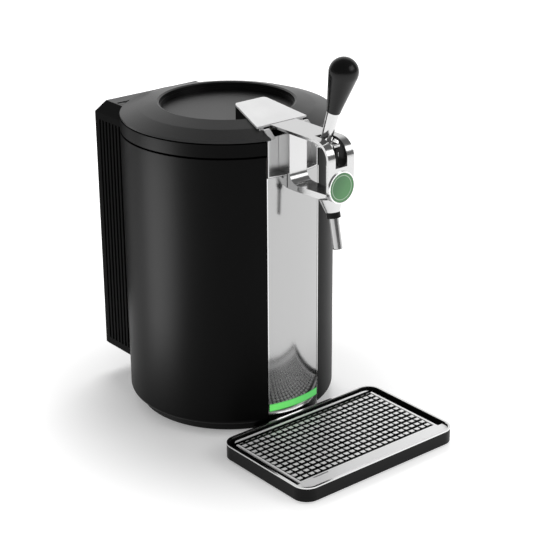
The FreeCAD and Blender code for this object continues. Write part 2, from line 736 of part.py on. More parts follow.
def badgeRim():
    return badge("badge_rim", "badge_radius + joint_gap + badge_rim_width",
                 "head_front", "rim_thickness", "badge_radius + joint_gap")


def tapBadge():
    return badge("tap_badge", "badge_radius", "head_front", "badge_thickness")


def nozzleCollar():
    body = newBody("nozzle_collar")
    ring = sketchOn(body, "XY", "-nozzle_collar_height")
    circle(ring, "collar_radius")
    circle(ring, "nozzle_radius + joint_gap")
    pad(body, ring, "nozzle_collar_height")
    return place(body, "nozzle_front", "nozzle_level", "-nozzle_lean")


def nozzleTube():
    """Spout: a thin tube whose upper end reaches into the collar."""
    body = newBody("nozzle_tube")
    ring = sketchOn(body, "XY", "-nozzle_collar_height - nozzle_length")
    circle(ring, "nozzle_radius")
    circle(ring, "nozzle_radius - nozzle_wall")
    pad(body, ring, "nozzle_length + nozzle_insertion")
    return place(body, "nozzle_front", "nozzle_level", "-nozzle_lean")


def valveRod():
    """Rod that the lever's toe presses down; it slides in the head below the slot."""
    body = newBody("valve_rod")
    top = "pivot_level - toe_level - joint_gap"
    rod = sketchOn(body, "XY", top)
    circle(rod, "rod_radius", "0", "-rod_front")
    pad(body, rod, "rod_length", reverse=True)
    cap = sketchOn(body, "XY", top)
    circle(cap, "rod_cap_radius", "0", "-rod_front")
    pad(body, cap, "rod_cap", reverse=True)
    return place(body)


# ---------------------------------------------------------------- lever, upright about its pivot


def leverStem():
    """Stem whose hub turns on the pin between the prongs, with a toe over the valve rod."""
    body = newBody("lever_stem")
    profile = sketchOn(body, "YZ")
    outline(
        profile, ("0", "0"), ("-stem_radius", "0"),
        ("-stem_top_radius", "stem_length"), ("0", "stem_length"),
    )
    spin(body, profile)
    hub = sketchOn(body, "YZ")
    circle(hub, "hub_radius")
    pad(body, hub, "stem_width", symmetric=True)
    toe = sketchOn(body, "YZ")
    toe.setExpression("AttachmentOffset.Rotation.Angle", bound("-lever_lean"))
    reach = "(pivot_front - rod_front)"
    outline(
        toe, ("0", "-toe_level"), ("0", "2 * toe_radius - toe_level"),
        (reach, "2 * toe_radius - toe_level"), (reach, "-toe_level", "toe_radius"),
    )
    pad(body, toe, "toe_width", symmetric=True)
    bore = sketchOn(body, "YZ")
    circle(bore, "pivot_radius + shaft_play")
    pocket(body, bore, "2 * stem_width", symmetric=True)
    return place(body, "pivot_front", "pivot_level", "lever_lean")


def leverHandle():
    """Turned grip: slim where it meets the stem, swelling to a domed top."""
    body = newBody("lever_handle")
    profile = sketchOn(body, "YZ")
    shoulder = "(stem_length + handle_length - handle_radius)"
    outline(
        profile, ("0", "stem_length"), ("-handle_base_radius + joint_gap", "stem_length"),
        ("-handle_base_radius", "stem_length + foot_height"),
        ("-handle_radius * cos(handle_flare)", f"{shoulder} - handle_radius * sin(handle_flare)"),
        ("0", f"{shoulder} + handle_radius", "-handle_radius"),
    )
    spin(body, profile)
    return place(body, "pivot_front", "pivot_level", "lever_lean")


def leverPin():
    body = newBody("lever_pin")
    rod = sketchOn(body, "YZ")
    circle(rod, "pivot_radius")
    pad(body, rod, "slot_width + 2 * lug_width - joint_gap", symmetric=True)
    return place(body, "pivot_front", "pivot_level")


# ---------------------------------------------------------------- lid


def coverOutline(sketch, inset, front, back):
    """Outline of the tap cover in plan, narrower by an inset, cut square at both ends."""
    slope = "((cover_width - cover_back_width) / 2 / (cover_front - cover_back))"
    frontHalf = f"(cover_width / 2 - (cover_front - ({front})) * {slope} - ({inset}))"
    backHalf = f"(cover_width / 2 - (cover_front - ({back})) * {slope} - ({inset}))"
    outline(
        sketch, (f"-{frontHalf}", f"-({front})"), (frontHalf, f"-({front})"),
        (backHalf, f"-({back})"), (f"-{backHalf}", f"-({back})"),
    )


def lidShell():
    """Dished lid whose ring falls to a bevelled shoulder, with a tail let into the rear housing
    and a slot for the tap."""
    body = newBody("lid_shell")
    wallInside = "(dish_radius + lid_wall)"
    crown = f"({lidTop} + lid_crown)"
    profile = sketchOn(body, "YZ")
    outline(
        profile, (f"-{shellInside}", lidBottom), ("-body_radius", lidBottom),
        ("-body_radius", f"{lidBottom} + lid_edge"), ("-shoulder_radius", f"{crown} - lid_fall"),
        (f"-{wallInside}", crown), ("-dish_radius", f"{crown} - lid_crown"),
        ("-dish_radius", f"{crown} - step_depth"),
        ("-(dish_radius - dish_step)", f"{crown} - step_depth"),
        ("-(dish_radius - dish_step)", dishFloor), ("0", dishFloor),
        ("0", f"{dishFloor} - lid_wall"), (f"-{wallInside}", f"{dishFloor} - lid_wall"),
        (f"-{wallInside}", f"{crown} - lid_wall"),
        ("-shoulder_radius", f"{crown} - lid_fall - lid_wall"),
        (f"-{shellInside}", f"{lidBottom} + lid_edge"),
    )
    spin(body, profile)
    lidTail(body)
    rebate = sketchOn(body, "YZ")
    rectangle(rebate, f"-{shellInside}", lidBottom, f"-({wallInside} + joint_gap)",
              f"{lidBottom} + liner_plate + joint_gap")
    spin(body, rebate, cut=True)

    slot = sketchOn(body, "XY", f"{crown} + lid_wall")
    centred(slot, "lid_slot_width", "-body_radius - lid_wall", "-lid_slot_back")
    pocket(body, slot, "2 * lid_height")
    channel = sketchOn(body, "XY", f"{crown} + lid_wall")
    coverOutline(channel, "-running_gap", f"cover_pivot + {noseSweep} + running_gap", "cover_back")
    pocket(body, channel, "lid_wall + dish_depth")
    linePort(body)

    lug = sketchOn(body, "YZ", "lid_slot_width / 2")
    reach = f"({flapBottom} - joint_gap - {coverPivot})"
    outline(
        lug, ("-(cover_pivot - cover_lug / 2)", f"{coverPivot} + {reach}"),
        ("-(cover_pivot - cover_lug / 2)", f"{coverPivot} - cover_lug / 2"),
        (f"-(cover_pivot + {reach})", f"{coverPivot} - cover_lug / 2"),
        (f"-(cover_pivot + {reach})", coverPivot),
        ("-cover_pivot", f"{coverPivot} + {reach}", f"-{reach}"),
    )
    mirror(body, [pad(body, lug, "lid_wall * 2")])
    pivot = sketchOn(body, "YZ")
    circle(pivot, "cover_pin_radius + shaft_play", "-cover_pivot", coverPivot)
    pocket(body, pivot, "lid_slot_width + lid_wall * 3", symmetric=True)
    return place(body)


def lidTail(body):
    """Apron that drops behind the lid, with a plate and a hinge barrel at its foot."""
    tail = sketchOn(body, "YZ")
    rectangle(tail, "keg_radius", hingeLevel, hingeBack, "housing_top")
    pad(body, tail, "tail_width", symmetric=True)
    barrel = sketchOn(body, "YZ")
    circle(barrel, "hinge_knuckle", hingeBack, hingeLevel)
    pad(body, barrel, "tail_width", symmetric=True)
    under = sketchOn(body, "XY", lidBottom)
    circle(under, tailInside)
    pocket(body, under, "collar_height")
    apron = sketchOn(body, "YZ")
    outline(
        apron, (tailInside, hingeLevel), (f"{tailInside} + apron_wall", hingeLevel),
        (f"{tailInside} + apron_wall", f"{lidBottom} + lid_edge"),
        (shellInside, f"{lidBottom} + lid_edge"), (shellInside, lidBottom),
        (tailInside, lidBottom),
    )
    spin(body, apron, f"2 * asin(tail_width / 2 / ({tailInside} + apron_wall))")
    knuckle = sketchOn(body, "XY", "housing_top")
    low = "knuckle_place - knuckle_width / 2 - running_gap"
    high = "knuckle_place + knuckle_width / 2 + running_gap"
    rectangle(knuckle, low, f"{hingeBack} - hinge_knuckle - running_gap", high,
              f"{hingeBack} + 2 * hinge_knuckle")
    mirror(body, [pocket(body, knuckle, "3 * hinge_knuckle")])
    hole = sketchOn(body, "YZ")
    circle(hole, "hinge_pin_radius", hingeBack, hingeLevel)
    pocket(body, hole, "tail_width + lid_wall", symmetric=True)


def linePort(body):
    """Hole under the flap through which the beer line leaves the chamber."""
    port = sketchOn(body, "XY", lidTop)
    circle(port, "port_radius", "0", "-port_front")
    pocket(body, port, "lid_height + plug_thickness")


def lidLiner():
    """Plate that closes the hollow rim of the lid from below."""
    body = newBody("lid_liner")
    ring = sketchOn(body, "XY", lidBottom)
    circle(ring, f"{shellInside} - joint_gap")
    circle(ring, "plug_radius + joint_gap")
    pad(body, ring, "liner_plate")
    slot = sketchOn(body, "XY", f"{lidBottom} + 2 * liner_plate")
    centred(slot, "lid_slot_width + 4 * lid_wall + 2 * joint_gap", "-body_radius",
            "-plug_radius - joint_gap / 2")
    pocket(body, slot, "3 * liner_plate")
    return place(body)


def lidPlug():
    body = newBody("lid_plug")
    disc = sketchOn(body, "XY", f"{dishFloor} - lid_wall - plug_thickness")
    circle(disc, "dish_radius + lid_wall")
    pad(body, disc, "plug_thickness")
    linePort(body)
    return place(body)


def lidGasket():
    """Soft seal between lid and deck, left open where the tap passes."""
    body = newBody("lid_gasket")
    ring = sketchOn(body, "XY", f"{collarTop} + joint_gap")
    circle(ring, "gasket_radius + gasket_width / 2")
    circle(ring, "gasket_radius - gasket_width / 2")
    pad(body, ring, "shadow_gap - joint_gap")
    slot = sketchOn(body, "XY", lidTop)
    centred(slot, "lid_slot_width + 4 * lid_wall + 2 * joint_gap", "-body_radius", "-keg_radius")
    pocket(body, slot, "2 * lid_height")
    return place(body)


def slotTrim():
    """Bright lips down both sides of the tap slot, sloping with the lid's shoulder."""
    body = newBody("slot_trim")
    inner = "(lid_slot_width / 2 - joint_gap - slot_trim_width)"
    lip = sketchOn(body, "YZ", inner)
    top = f"{flapBottom} - joint_gap"
    outline(
        lip, ("-(slot_trim_front - slot_trim_run)", top),
        ("-(slot_trim_front - slot_trim_run + slot_trim_thickness)", top),
        ("-(slot_trim_front + slot_trim_thickness)", lidBottom),
        ("-slot_trim_front", lidBottom),
    )
    mirror(body, [pad(body, lip, "slot_trim_width")])
    return place(body)


def hingeBracket():
    """Two knuckles that stand in the recess of the rear housing and carry the lid's pin."""
    body = newBody("hinge_bracket")
    knuckle = sketchOn(body, "YZ", "knuckle_place - knuckle_width / 2")
    low = f"{hingeBack} - hinge_knuckle"
    high = f"{hingeBack} + hinge_knuckle"
    outline(
        knuckle, (low, hingeFloor), (high, hingeFloor), (high, hingeLevel),
        (low, hingeLevel, "hinge_knuckle"),
    )
    circle(knuckle, "hinge_pin_radius + shaft_play", hingeBack, hingeLevel)
    mirror(body, [pad(body, knuckle, "knuckle_width")])
    return place(body)


def lidHingePin():
    body = newBody("lid_hinge_pin")
    rod = sketchOn(body, "YZ")
    circle(rod, "hinge_pin_radius", hingeBack, hingeLevel)
    pad(body, rod, "tail_width - 2 * shadow_gap", symmetric=True)
    return place(body)


# ---------------------------------------------------------------- tap cover


def tapCover():
    """Flap over the beer line: a plate that climbs towards its rounded rear edge."""
    body = newBody("tap_cover")
    side = sketchOn(body, "YZ")
    outline(
        side, ("-cover_front", flapBottom), ("-cover_front", "plate_level"),
        ("-cover_back", "plate_level + cover_rise"),
        ("-cover_back", "plate_level + cover_rise - cover_thickness"),
    )
    pad(body, side, "cover_width", symmetric=True)
    trim = sketchOn(body, "XY", "plate_level + 2 * cover_rise")
    half = "(cover_back_width / 2)"
    outline(
        trim, ("cover_width / 2", "-cover_front"), (half, "-(cover_back + cover_corner)"),
        (f"{half} - cover_corner", "-cover_back", "cover_corner * 1.1"),
        (f"{half} - cover_corner", "cover_corner - cover_back"),
        ("cover_width", "cover_corner - cover_back"), ("cover_width", "-cover_front"),
    )
    mirror(body, [pocket(body, trim, "4 * cover_rise")])
    ear = sketchOn(body, "YZ", coverEar)
    reach = "(cover_lug / 3)"
    outline(
        ear, (f"-(cover_pivot + {reach})", "plate_level - cover_thickness / 2"),
        (f"-(cover_pivot + {reach})", coverPivot),
        (f"-(cover_pivot - {reach})", coverPivot, reach),
        (f"-(cover_pivot - {reach})", "plate_level - cover_thickness / 2"),
    )
    mirror(body, [pad(body, ear, "cover_lug")])
    hole = sketchOn(body, "YZ")
    circle(hole, "cover_pin_radius", "-cover_pivot", coverPivot)
    pocket(body, hole, "2 * cover_width", symmetric=True)
    return place(body)


def coverFrame():
    """Dark skirt under the flap, open below and towards the tap, that covers the beer line."""
    body = newBody("cover_frame")
    low = f"({dishFloor} + running_gap)"
    front = "cover_pivot - cover_lug"
    back = "cover_back + cover_frame_wall"
    skirt = sketchOn(body, "XY", low)
    coverOutline(skirt, "cover_inset", front, back)
    pad(body, skirt, f"plate_level + cover_rise - {low}")
    hollow = sketchOn(body, "XY", "plate_level + 2 * cover_rise")
    coverOutline(hollow, "cover_inset + cover_frame_wall", front + " + cover_frame_wall",
                 back + " + cover_frame_wall")
    pocket(body, hollow, "4 * cover_rise")
    above = sketchOn(body, "YZ")
    outline(
        above, ("-cover_front", flapBottom), ("-cover_back", f"{flapBottom} + cover_rise"),
        ("-cover_back", "plate_level + 2 * cover_rise"),
        ("-cover_front", "plate_level + 2 * cover_rise"),
    )
    pocket(body, above, "2 * cover_width", symmetric=True)
    return place(body)


def coverPins():
    body = newBody("cover_pins")
    rod = sketchOn(body, "YZ", coverEar)
    circle(rod, "cover_pin_radius", "-cover_pivot", coverPivot)
    mirror(body, [pad(body, rod, f"lid_slot_width / 2 + lid_wall - {coverEar}")])
    return place(body)


# ---------------------------------------------------------------- rear housing


def housingOutline(sketch, inset):
    """Rear view of the housing: bevelled shoulders above, small bevels at the heel."""
    half = f"(housing_width / 2 - {inset})"
    top = f"(housing_top - {inset})"
    bottom = f"(housing_bottom + {inset})"
    outline(
        sketch, (f"-{half} + housing_heel", bottom), (f"{half} - housing_heel", bottom),
        (half, f"{bottom} + housing_heel"), (half, f"{top} - housing_bevel_height"),
        (f"{half} - housing_bevel", top), (f"-{half} + housing_bevel", top),
        (f"-{half}", f"{top} - housing_bevel_height"), (f"-{half}", f"{bottom} + housing_heel"),
    )


def rearHousing():
    """Moulded box behind the body, ribbed on both sides, open at the back for the vent."""
    body = newBody("rear_housing")
    outer = sketchOn(body, "XZ", "-housing_back")
    housingOutline(outer, "0")
    pad(body, outer, "housing_back - cold_block_width")
    inner = sketchOn(body, "XZ", "-cold_block_width / 2")
    housingOutline(inner, "housing_wall")
    pocket(body, inner, f"{housingInside} - cold_block_width / 2")
    half = "(tail_width / 2 + running_gap)"
    back = f"({hingeBack} + hinge_knuckle + running_gap)"
    block = sketchOn(body, "XY", f"{hingeFloor} - housing_wall")
    rectangle(block, f"-{half} - housing_wall", "keg_radius", f"{half} + housing_wall",
              f"{back} + housing_wall")
    pad(body, block, f"housing_top - housing_wall / 2 - {hingeFloor} + housing_wall")
    recess = sketchOn(body, "XY", "housing_top + housing_wall")
    rectangle(recess, f"-{half}", "keg_radius", half, back)
    pocket(body, recess, f"housing_top + housing_wall - {hingeFloor}")
    drum = sketchOn(body, "XY", "housing_top + housing_wall")
    circle(drum, "body_radius + joint_gap")
    pocket(body, drum, "housing_top")
    boss = sketchOn(body, "XZ", f"-{housingInside}")
    ventCorner(boss, "screw_radius + screw_head")
    mirror(body, [pad(body, boss, "screw_length")])
    rebate = sketchOn(body, "XZ", "-(housing_back - panel_thickness)")
    centred(rebate, "vent_width", "vent_bottom", "vent_bottom + vent_height")
    pocket(body, rebate, "housing_wall")
    vent = sketchOn(body, "XZ", f"-({housingInside} - housing_wall)")
    centred(vent, "vent_width - 2 * vent_border", "vent_bottom + 2 * vent_border",
            "vent_bottom + vent_height - 2 * vent_border")
    pocket(body, vent, "3 * housing_wall")
    thread = sketchOn(body, "XZ", f"-({housingInside} - screw_length)")
    ventCorner(thread, "screw_radius / 2 + shaft_play")
    mirror(body, [pocket(body, thread, "2 * screw_length")])
    mains = sketchOn(body, "XZ", f"-({housingInside} - housing_wall)")
    for side, width, height, level in (
        ("-", "inlet_width", "inlet_height", "inlet_level"),
        ("", "switch_width", "switch_height", "inlet_level"),
    ):
        left = f"{side}inlet_place - {width} / 2"
        right = f"{side}inlet_place + {width} / 2"
        rectangle(mains, left, f"{level} - {height} / 2", right, f"{level} + {height} / 2")
    pocket(body, mains, "3 * housing_wall")
    groove = sketchOn(body, "XY", "housing_bottom + housing_heel + rib_margin")
    first = "(housing_back - rib_margin)"
    rectangle(groove, "housing_width / 2 - rib_groove", f"{first} - rib_gap",
              "housing_width / 2 + rib_groove", first)
    height = "housing_top - housing_bottom - housing_heel - housing_bevel_height - 2 * rib_margin"
    cut = pocket(body, groove, height, reverse=True)
    rows = "floor((housing_back - rib_margin - sqrt(body_radius ^ 2 - (housing_width / 2) ^ 2)) / rib_pitch)"
    ribs = body.newObject("PartDesign::MultiTransform", "rear_housingRibs")
    ribs.Originals = [cut]
    row = doc.addObject("PartDesign::LinearPattern", "rear_housingRow")
    row.Direction = (originFeature(body, "Y_Axis"), [""])
    row.Mode = "Spacing"
    row.Reversed = True
    row.setExpression("Offset", bound("rib_pitch"))
    row.setExpression("Occurrences", bound(rows))
    flip = doc.addObject("PartDesign::Mirrored", "rear_housingFlip")
    flip.MirrorPlane = (originFeature(body, "YZ_Plane"), [""])
    ribs.Transformations = [row, flip]
    body.Tip = ribs
    return place(body)


def rearGrille():
    """Vent panel set into the back of the housing, slotted over the fan."""
    body = newBody("rear_grille")
    panel = sketchOn(body, "XZ", "-housing_back")
    centred(panel, "vent_width - 2 * joint_gap", "vent_bottom + joint_gap",
            "vent_bottom + vent_height - joint_gap")
    pad(body, panel, "panel_thickness")
    count = "floor((vent_width - 2 * vent_border - vent_slot) / vent_pitch)"
    slot = sketchOn(body, "XZ", f"-{housingInside}")
    left = f"-({count} * vent_pitch + vent_slot) / 2"
    rectangle(slot, left, "vent_bottom + 2 * vent_border", f"{left} + vent_slot",
              "vent_bottom + vent_height - 2 * vent_border")
    cut = pocket(body, slot, "2 * housing_wall")
    linePattern(body, [cut], "X", "vent_pitch", f"{count} + 1")
    hole = sketchOn(body, "XZ", "-(housing_back - screw_head)")
    ventCorner(hole, "screw_radius + joint_gap")
    sink = pocket(body, hole, "screw_head + housing_wall")
    shank = sketchOn(body, "XZ", f"-{housingInside}")
    ventCorner(shank, "screw_radius / 2 + shaft_play")
    through = pocket(body, shank, "2 * housing_wall")
    mirror(body, [sink, through])
    return place(body)


def ventCorner(sketch, radius):
    """Circles at the upper and lower screw places of one side of the vent panel."""
    x = "vent_width / 2 - vent_border / 2 - joint_gap"
    circle(sketch, radius, x, "vent_bottom + vent_border")
    circle(sketch, radius, x, "vent_bottom + vent_height - vent_border")


def grilleScrews():
    body = newBody("grille_screws")
    head = sketchOn(body, "XZ", "-housing_back")
    ventCorner(head, "screw_radius")
    cap = pad(body, head, "screw_head")
    shank = sketchOn(body, "XZ", "-housing_back")
    ventCorner(shank, "screw_radius / 2")
    mirror(body, [cap, pad(body, shank, "screw_length")])
    return place(body)


# ---------------------------------------------------------------- cooling unit


def coldBlock():
    """Saddle hollowed to fit the liner, which carries heat to the cooling module."""
    body = newBody("cold_block")
    block = sketchOn(body, "XZ", f"-{coldBack}")
    centred(block, "cold_block_width", "cold_level - cold_block_height / 2",
            "cold_level + cold_block_height / 2")
    pad(body, block, f"{coldBack} - keg_radius * 0.8")
    saddle = sketchOn(body, "XY", "cold_level + cold_block_height")
    circle(saddle, f"{linerOutside} + joint_gap / 2")
    pocket(body, saddle, "2 * cold_block_height")
    return place(body)


def coolingModule():
    body = newBody("cooling_module")
    tile = sketchOn(body, "XZ", f"-{sinkFront}")
    centred(tile, "module_side", "cold_level - module_side / 2", "cold_level + module_side / 2")
    pad(body, tile, "module_thickness")
    return place(body)


def heatSink():
    """Finned aluminium extrusion with upright fins."""
    body = newBody("heat_sink")
    low = "cold_level - sink_height / 2"
    high = "cold_level + sink_height / 2"
    base = sketchOn(body, "XZ", f"-({sinkFront} + sink_base)")
    centred(base, "sink_width", low, high)
    pad(body, base, "sink_base")
    count = "floor((sink_width - fin_thickness) / fin_pitch)"
    left = f"-({count} * fin_pitch + fin_thickness) / 2"
    fin = sketchOn(body, "XZ", f"-({sinkFront} + sink_base + fin_depth)")
    rectangle(fin, left, low, f"{left} + fin_thickness", high)
    linePattern(body, [pad(body, fin, "fin_depth + sink_base / 2")], "X", "fin_pitch", f"{count} + 1")
    return place(body)


def fanFrame():
    """Square frame with a round bore and four struts that carry the motor post."""
    body = newBody("fan_frame")
    back = f"-({fanFront} + fan_depth)"
    frame = sketchOn(body, "XZ", back)
    roundedBox(frame, "fan_side", "cold_level - fan_side / 2", "cold_level + fan_side / 2",
               "fan_corner")
    circle(frame, "fan_bore", "0", "cold_level")
    pad(body, frame, "fan_depth")
    across = sketchOn(body, "XZ", back)
    centred(across, "2 * fan_bore + fan_corner", "cold_level - strut_width / 2",
            "cold_level + strut_width / 2")
    pad(body, across, "strut_depth")
    upright = sketchOn(body, "XZ", back)
    centred(upright, "strut_width", "cold_level - fan_bore - fan_corner / 2",
            "cold_level + fan_bore + fan_corner / 2")
    pad(body, upright, "strut_depth")
    motor = sketchOn(body, "XZ", back)
    circle(motor, "hub_size", "0", "cold_level")
    pad(body, motor, "strut_depth")
    post = sketchOn(body, "XZ", back)
    circle(post, "fan_shaft_radius", "0", "cold_level")
    pad(body, post, "(fan_depth + fan_hub_depth) / 2 - blade_thickness - running_gap")
    return place(body)


def fanRotor():
    """Hub with seven raked blades, drawn about its own upright axle."""
    body = newBody("fan_rotor")
    hub = sketchOn(body, "XY", "-fan_hub_depth / 2")
    circle(hub, "hub_size")
    pad(body, hub, "fan_hub_depth")
    blade = sketchOn(body, "YZ", "hub_size - blade_thickness")
    reach = "(blade_chord / 2)"
    rise = "(fan_hub_depth / 2 - blade_thickness)"
    outline(
        blade, (f"-{reach}", f"-{rise}"), (f"blade_thickness * 1.5 - {reach}", f"-{rise}"),
        (reach, rise), (f"{reach} - blade_thickness * 1.5", rise),
    )
    wing = pad(body, blade, "fan_bore - blade_gap - hub_size + blade_thickness")
    circlePattern(body, [wing], 7)
    bore = sketchOn(body, "XY", "fan_hub_depth / 2 - blade_thickness")
    circle(bore, "fan_shaft_radius + shaft_play")
    pocket(body, bore, "fan_hub_depth")
    return place(body, f"-({fanFront} + fan_depth / 2)", "cold_level", "90")


# ---------------------------------------------------------------- mains inlet and switch


def powerInlet():
    """Recessed mains socket with three flat blades standing in it."""
    body = newBody("power_inlet")
    shell = sketchOn(body, "XZ", "-housing_back")
    x = "-inlet_place"
    low = "inlet_level - inlet_height / 2 + joint_gap"
    high = "inlet_level + inlet_height / 2 - joint_gap"
    rectangle(shell, f"{x} - inlet_width / 2 + joint_gap", low,
              f"{x} + inlet_width / 2 - joint_gap", high)
    pad(body, shell, "inlet_depth")
    well = sketchOn(body, "XZ", "-(housing_back - inlet_depth + inlet_wall)")
    rectangle(well, f"{x} - inlet_width / 2 + joint_gap + inlet_wall", f"{low} + inlet_wall",
              f"{x} + inlet_width / 2 - joint_gap - inlet_wall", f"{high} - inlet_wall")
    pocket(body, well, "inlet_depth")
    blades = sketchOn(body, "XZ", "-(housing_back - inlet_wall)")
    for shift, rise in (("-inlet_width / 4", "-blade_height"), ("0", "blade_height"),
                        ("inlet_width / 4", "-blade_height")):
        centre = f"{x} + {shift}"
        rectangle(blades, f"{centre} - blade_height / 2", f"inlet_level + {rise} - blade_width / 2",
                  f"{centre} + blade_height / 2", f"inlet_level + {rise} + blade_width / 2")
    pad(body, blades, "inlet_depth - 2 * inlet_wall + inlet_wall / 2")
    return place(body)


rockerHalf = "(switch_height / 2 - 2 * joint_gap - switch_wall - running_gap)"
rockerBack = f"(housing_back - bezel_recess - {rockerHalf} / 3 - running_gap)"


def switchBezel():
    """Cup that the rocker stands in, with a pivot hole through each side."""
    body = newBody("switch_bezel")
    back = "-(housing_back - bezel_recess)"
    for inset, shape, length in (
        ("joint_gap", pad, "switch_depth"),
        ("(joint_gap + switch_wall)", pocket, "switch_depth - switch_wall"),
    ):
        frame = sketchOn(body, "XZ", back)
        rectangle(
            frame, f"inlet_place - switch_width / 2 + {inset}",
            f"inlet_level - switch_height / 2 + {inset}",
            f"inlet_place + switch_width / 2 - {inset}",
            f"inlet_level + switch_height / 2 - {inset}",
        )
        shape(body, frame, length, reverse=shape is pocket)
    pivot = sketchOn(body, "YZ", "inlet_place")
    circle(pivot, "rocker_pin + shaft_play", rockerBack, "inlet_level")
    pocket(body, pivot, "switch_width", symmetric=True)
    return place(body)


def switchRocker():
    """Rocker with two shallow faces on its own pivot stubs, drawn upright and set tilted."""
    body = newBody("switch_rocker")
    half = rockerHalf
    key = sketchOn(body, "YZ")
    outline(
        key, (f"-{half} / 2", f"-{half} * 0.6"), (f"{half} / 3", f"-{half}"),
        (f"{half} / 6", "0"), (f"{half} / 3", half), (f"-{half} / 2", f"{half} * 0.6"),
    )
    pad(body, key, "switch_width - 4 * joint_gap - 2 * switch_wall", symmetric=True)
    stub = sketchOn(body, "YZ")
    circle(stub, "rocker_pin")
    pad(body, stub, "switch_width - 4 * joint_gap", symmetric=True)
    return place(body, f"-{rockerBack}", "inlet_level", "rocker_tilt", aside="inlet_place")


# ---------------------------------------------------------------- drip tray


def trayOutline(sketch, inset):
    """Plan of the tray, round at all four corners."""
    roundedBox(sketch, f"tray_width - 2 * ({inset})", f"(-tray_front + {inset})",
               f"(-tray_back - ({inset}))", f"(tray_corner - ({inset}))")


def dripTray():
    """Tub with a raised floor, a skirt below it, three ribs inside and a notch for the hook."""
    body = newBody("drip_tray")
    tub = sketchOn(body, "XY", "foot_height")
    trayOutline(tub, "0")
    pad(body, tub, "tray_level - foot_height")
    inside = sketchOn(body, "XY", "tray_level")
    trayOutline(inside, "tray_wall")
    pocket(body, inside, "tray_level - tray_floor")
    under = sketchOn(body, "XY", "foot_height")
    trayOutline(under, "tray_wall")
    pocket(body, under, "tray_floor - tray_floor_thickness - foot_height", reverse=True)
    notch = sketchOn(body, "XY", "foot_height")
    centred(notch, "tongue_width + 4 * running_gap", "-tray_back - 2 * tray_wall",
            "-tray_back + tray_wall")
    pocket(body, notch, "tray_floor - tray_floor_thickness - foot_height", reverse=True)
    ribs = sketchOn(body, "XY", "tray_floor")
    for shift in ("-tray_width / 4", "0", "tray_width / 4"):
        rectangle(ribs, f"{shift} - support_width / 2", "-tray_front + 5 * tray_wall",
                  f"{shift} + support_width / 2", "-tray_back - 5 * tray_wall")
    pad(body, ribs, f"{grilleLevel} - grille_thickness - joint_gap - tray_floor")
    return place(body)


def trayRim():
    body = newBody("tray_rim")
    ring = sketchOn(body, "XY", "tray_level")
    trayOutline(ring, "0")
    trayOutline(ring, "rim_width")
    pad(body, ring, "rim_height")
    return place(body)


def trayFeet():
    body = newBody("tray_feet")
    foot = sketchOn(body, "XY")
    circle(foot, "tray_foot_radius", "tray_foot_place", "-tray_front + 2 * tray_corner")
    front = pad(body, foot, "tray_floor - tray_floor_thickness")
    heel = sketchOn(body, "XY")
    circle(heel, "tray_foot_radius", "tray_foot_place", "-tray_back - 2 * tray_corner")
    back = pad(body, heel, "tray_floor - tray_floor_thickness")
    mirror(body, [front, back])
    return place(body)


def dripGrille():
    """Pressed steel plate with a grid of slots; it lifts out of the tray."""
    body = newBody("drip_grille")
    low = "(-tray_front + tray_wall + grille_front_inset)"
    high = "(-tray_back - tray_wall - grille_front_inset)"
    width = "(tray_width - 2 * (tray_wall + grille_inset))"
    plate = sketchOn(body, "XY", f"{grilleLevel} - grille_thickness")
    roundedBox(plate, width, low, high, "grille_corner")
    pad(body, plate, "grille_thickness")
    columns = f"floor(({width} - 2 * grille_border + grille_pitch - grille_slot) / grille_pitch)"
    depth = f"({high} - {low} - grille_border - grille_front_border)"
    rows = f"floor(({depth} + grille_row - grille_slot_depth) / grille_row)"
    cell = sketchOn(body, "XY", grilleLevel)
    left = f"(-(({columns} - 1) * grille_pitch + grille_slot) / 2)"
    front = f"({low} + grille_front_border)"
    rectangle(cell, left, front, f"{left} + grille_slot", f"{front} + grille_slot_depth")
    slots = pocket(body, cell, "2 * grille_thickness")
    grid = linePattern(body, [slots], "X", "grille_pitch", columns)
    grid.Direction2 = (originFeature(body, "Y_Axis"), [""])
    grid.Mode2 = "Spacing"
    grid.setExpression("Offset2", bound("grille_row"))
    grid.setExpression("Occurrences2", bound(rows))
    return place(body)


# ---------------------------------------------------------------- build and write


subParts = [
    basePlate(), rubberFeet(), chassis(), powerSupply(), controlBoard(),
    bodyShell(), mouthRing(), collarRing(), insulationSleeve(), kegLiner(), kegPad(),
    frontCarrier(), footBand(), lightGuide(), frontStrip(), stripTrim(), nicheLiner(),
    tapBody(), badgeRim(), tapBadge(), nozzleCollar(), nozzleTube(), valveRod(),
    leverStem(), leverHandle(), leverPin(),
    lidShell(), lidLiner(), lidPlug(), lidGasket(), slotTrim(), hingeBracket(), lidHingePin(),
    tapCover(), coverFrame(), coverPins(),
    rearHousing(), rearGrille(), grilleScrews(),
    coldBlock(), coolingModule(), heatSink(), fanFrame(), fanRotor(),
    powerInlet(), switchBezel(), switchRocker(),
    dripTray(), trayRim(), trayFeet(), dripGrille(),
]
doc.recompute()

failed = [item.Name for item in doc.Objects if {"Invalid", "Error"} & set(item.State)]
unsound = [part.Label for part in subParts if part.Shape.isNull() or not part.Shape.isValid()]
if failed or unsound:
    raise RuntimeError(f"failed: {failed}, unsound: {unsound}")

os.makedirs("parts", exist_ok=True)
for part in subParts:
    part.Shape.exportStep(f"parts/{part.Label}.step")
    box = part.Shape.BoundBox
    print(part.Label, len(part.Shape.Solids), round(part.Shape.Volume),
          [round(edge, 1) for edge in (box.XMin, box.XMax, box.YMin, box.YMax, box.ZMin, box.ZMax)])
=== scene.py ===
from math import cos, radians, sin

import bmesh
import bpy
from mathutils import Matrix, Vector


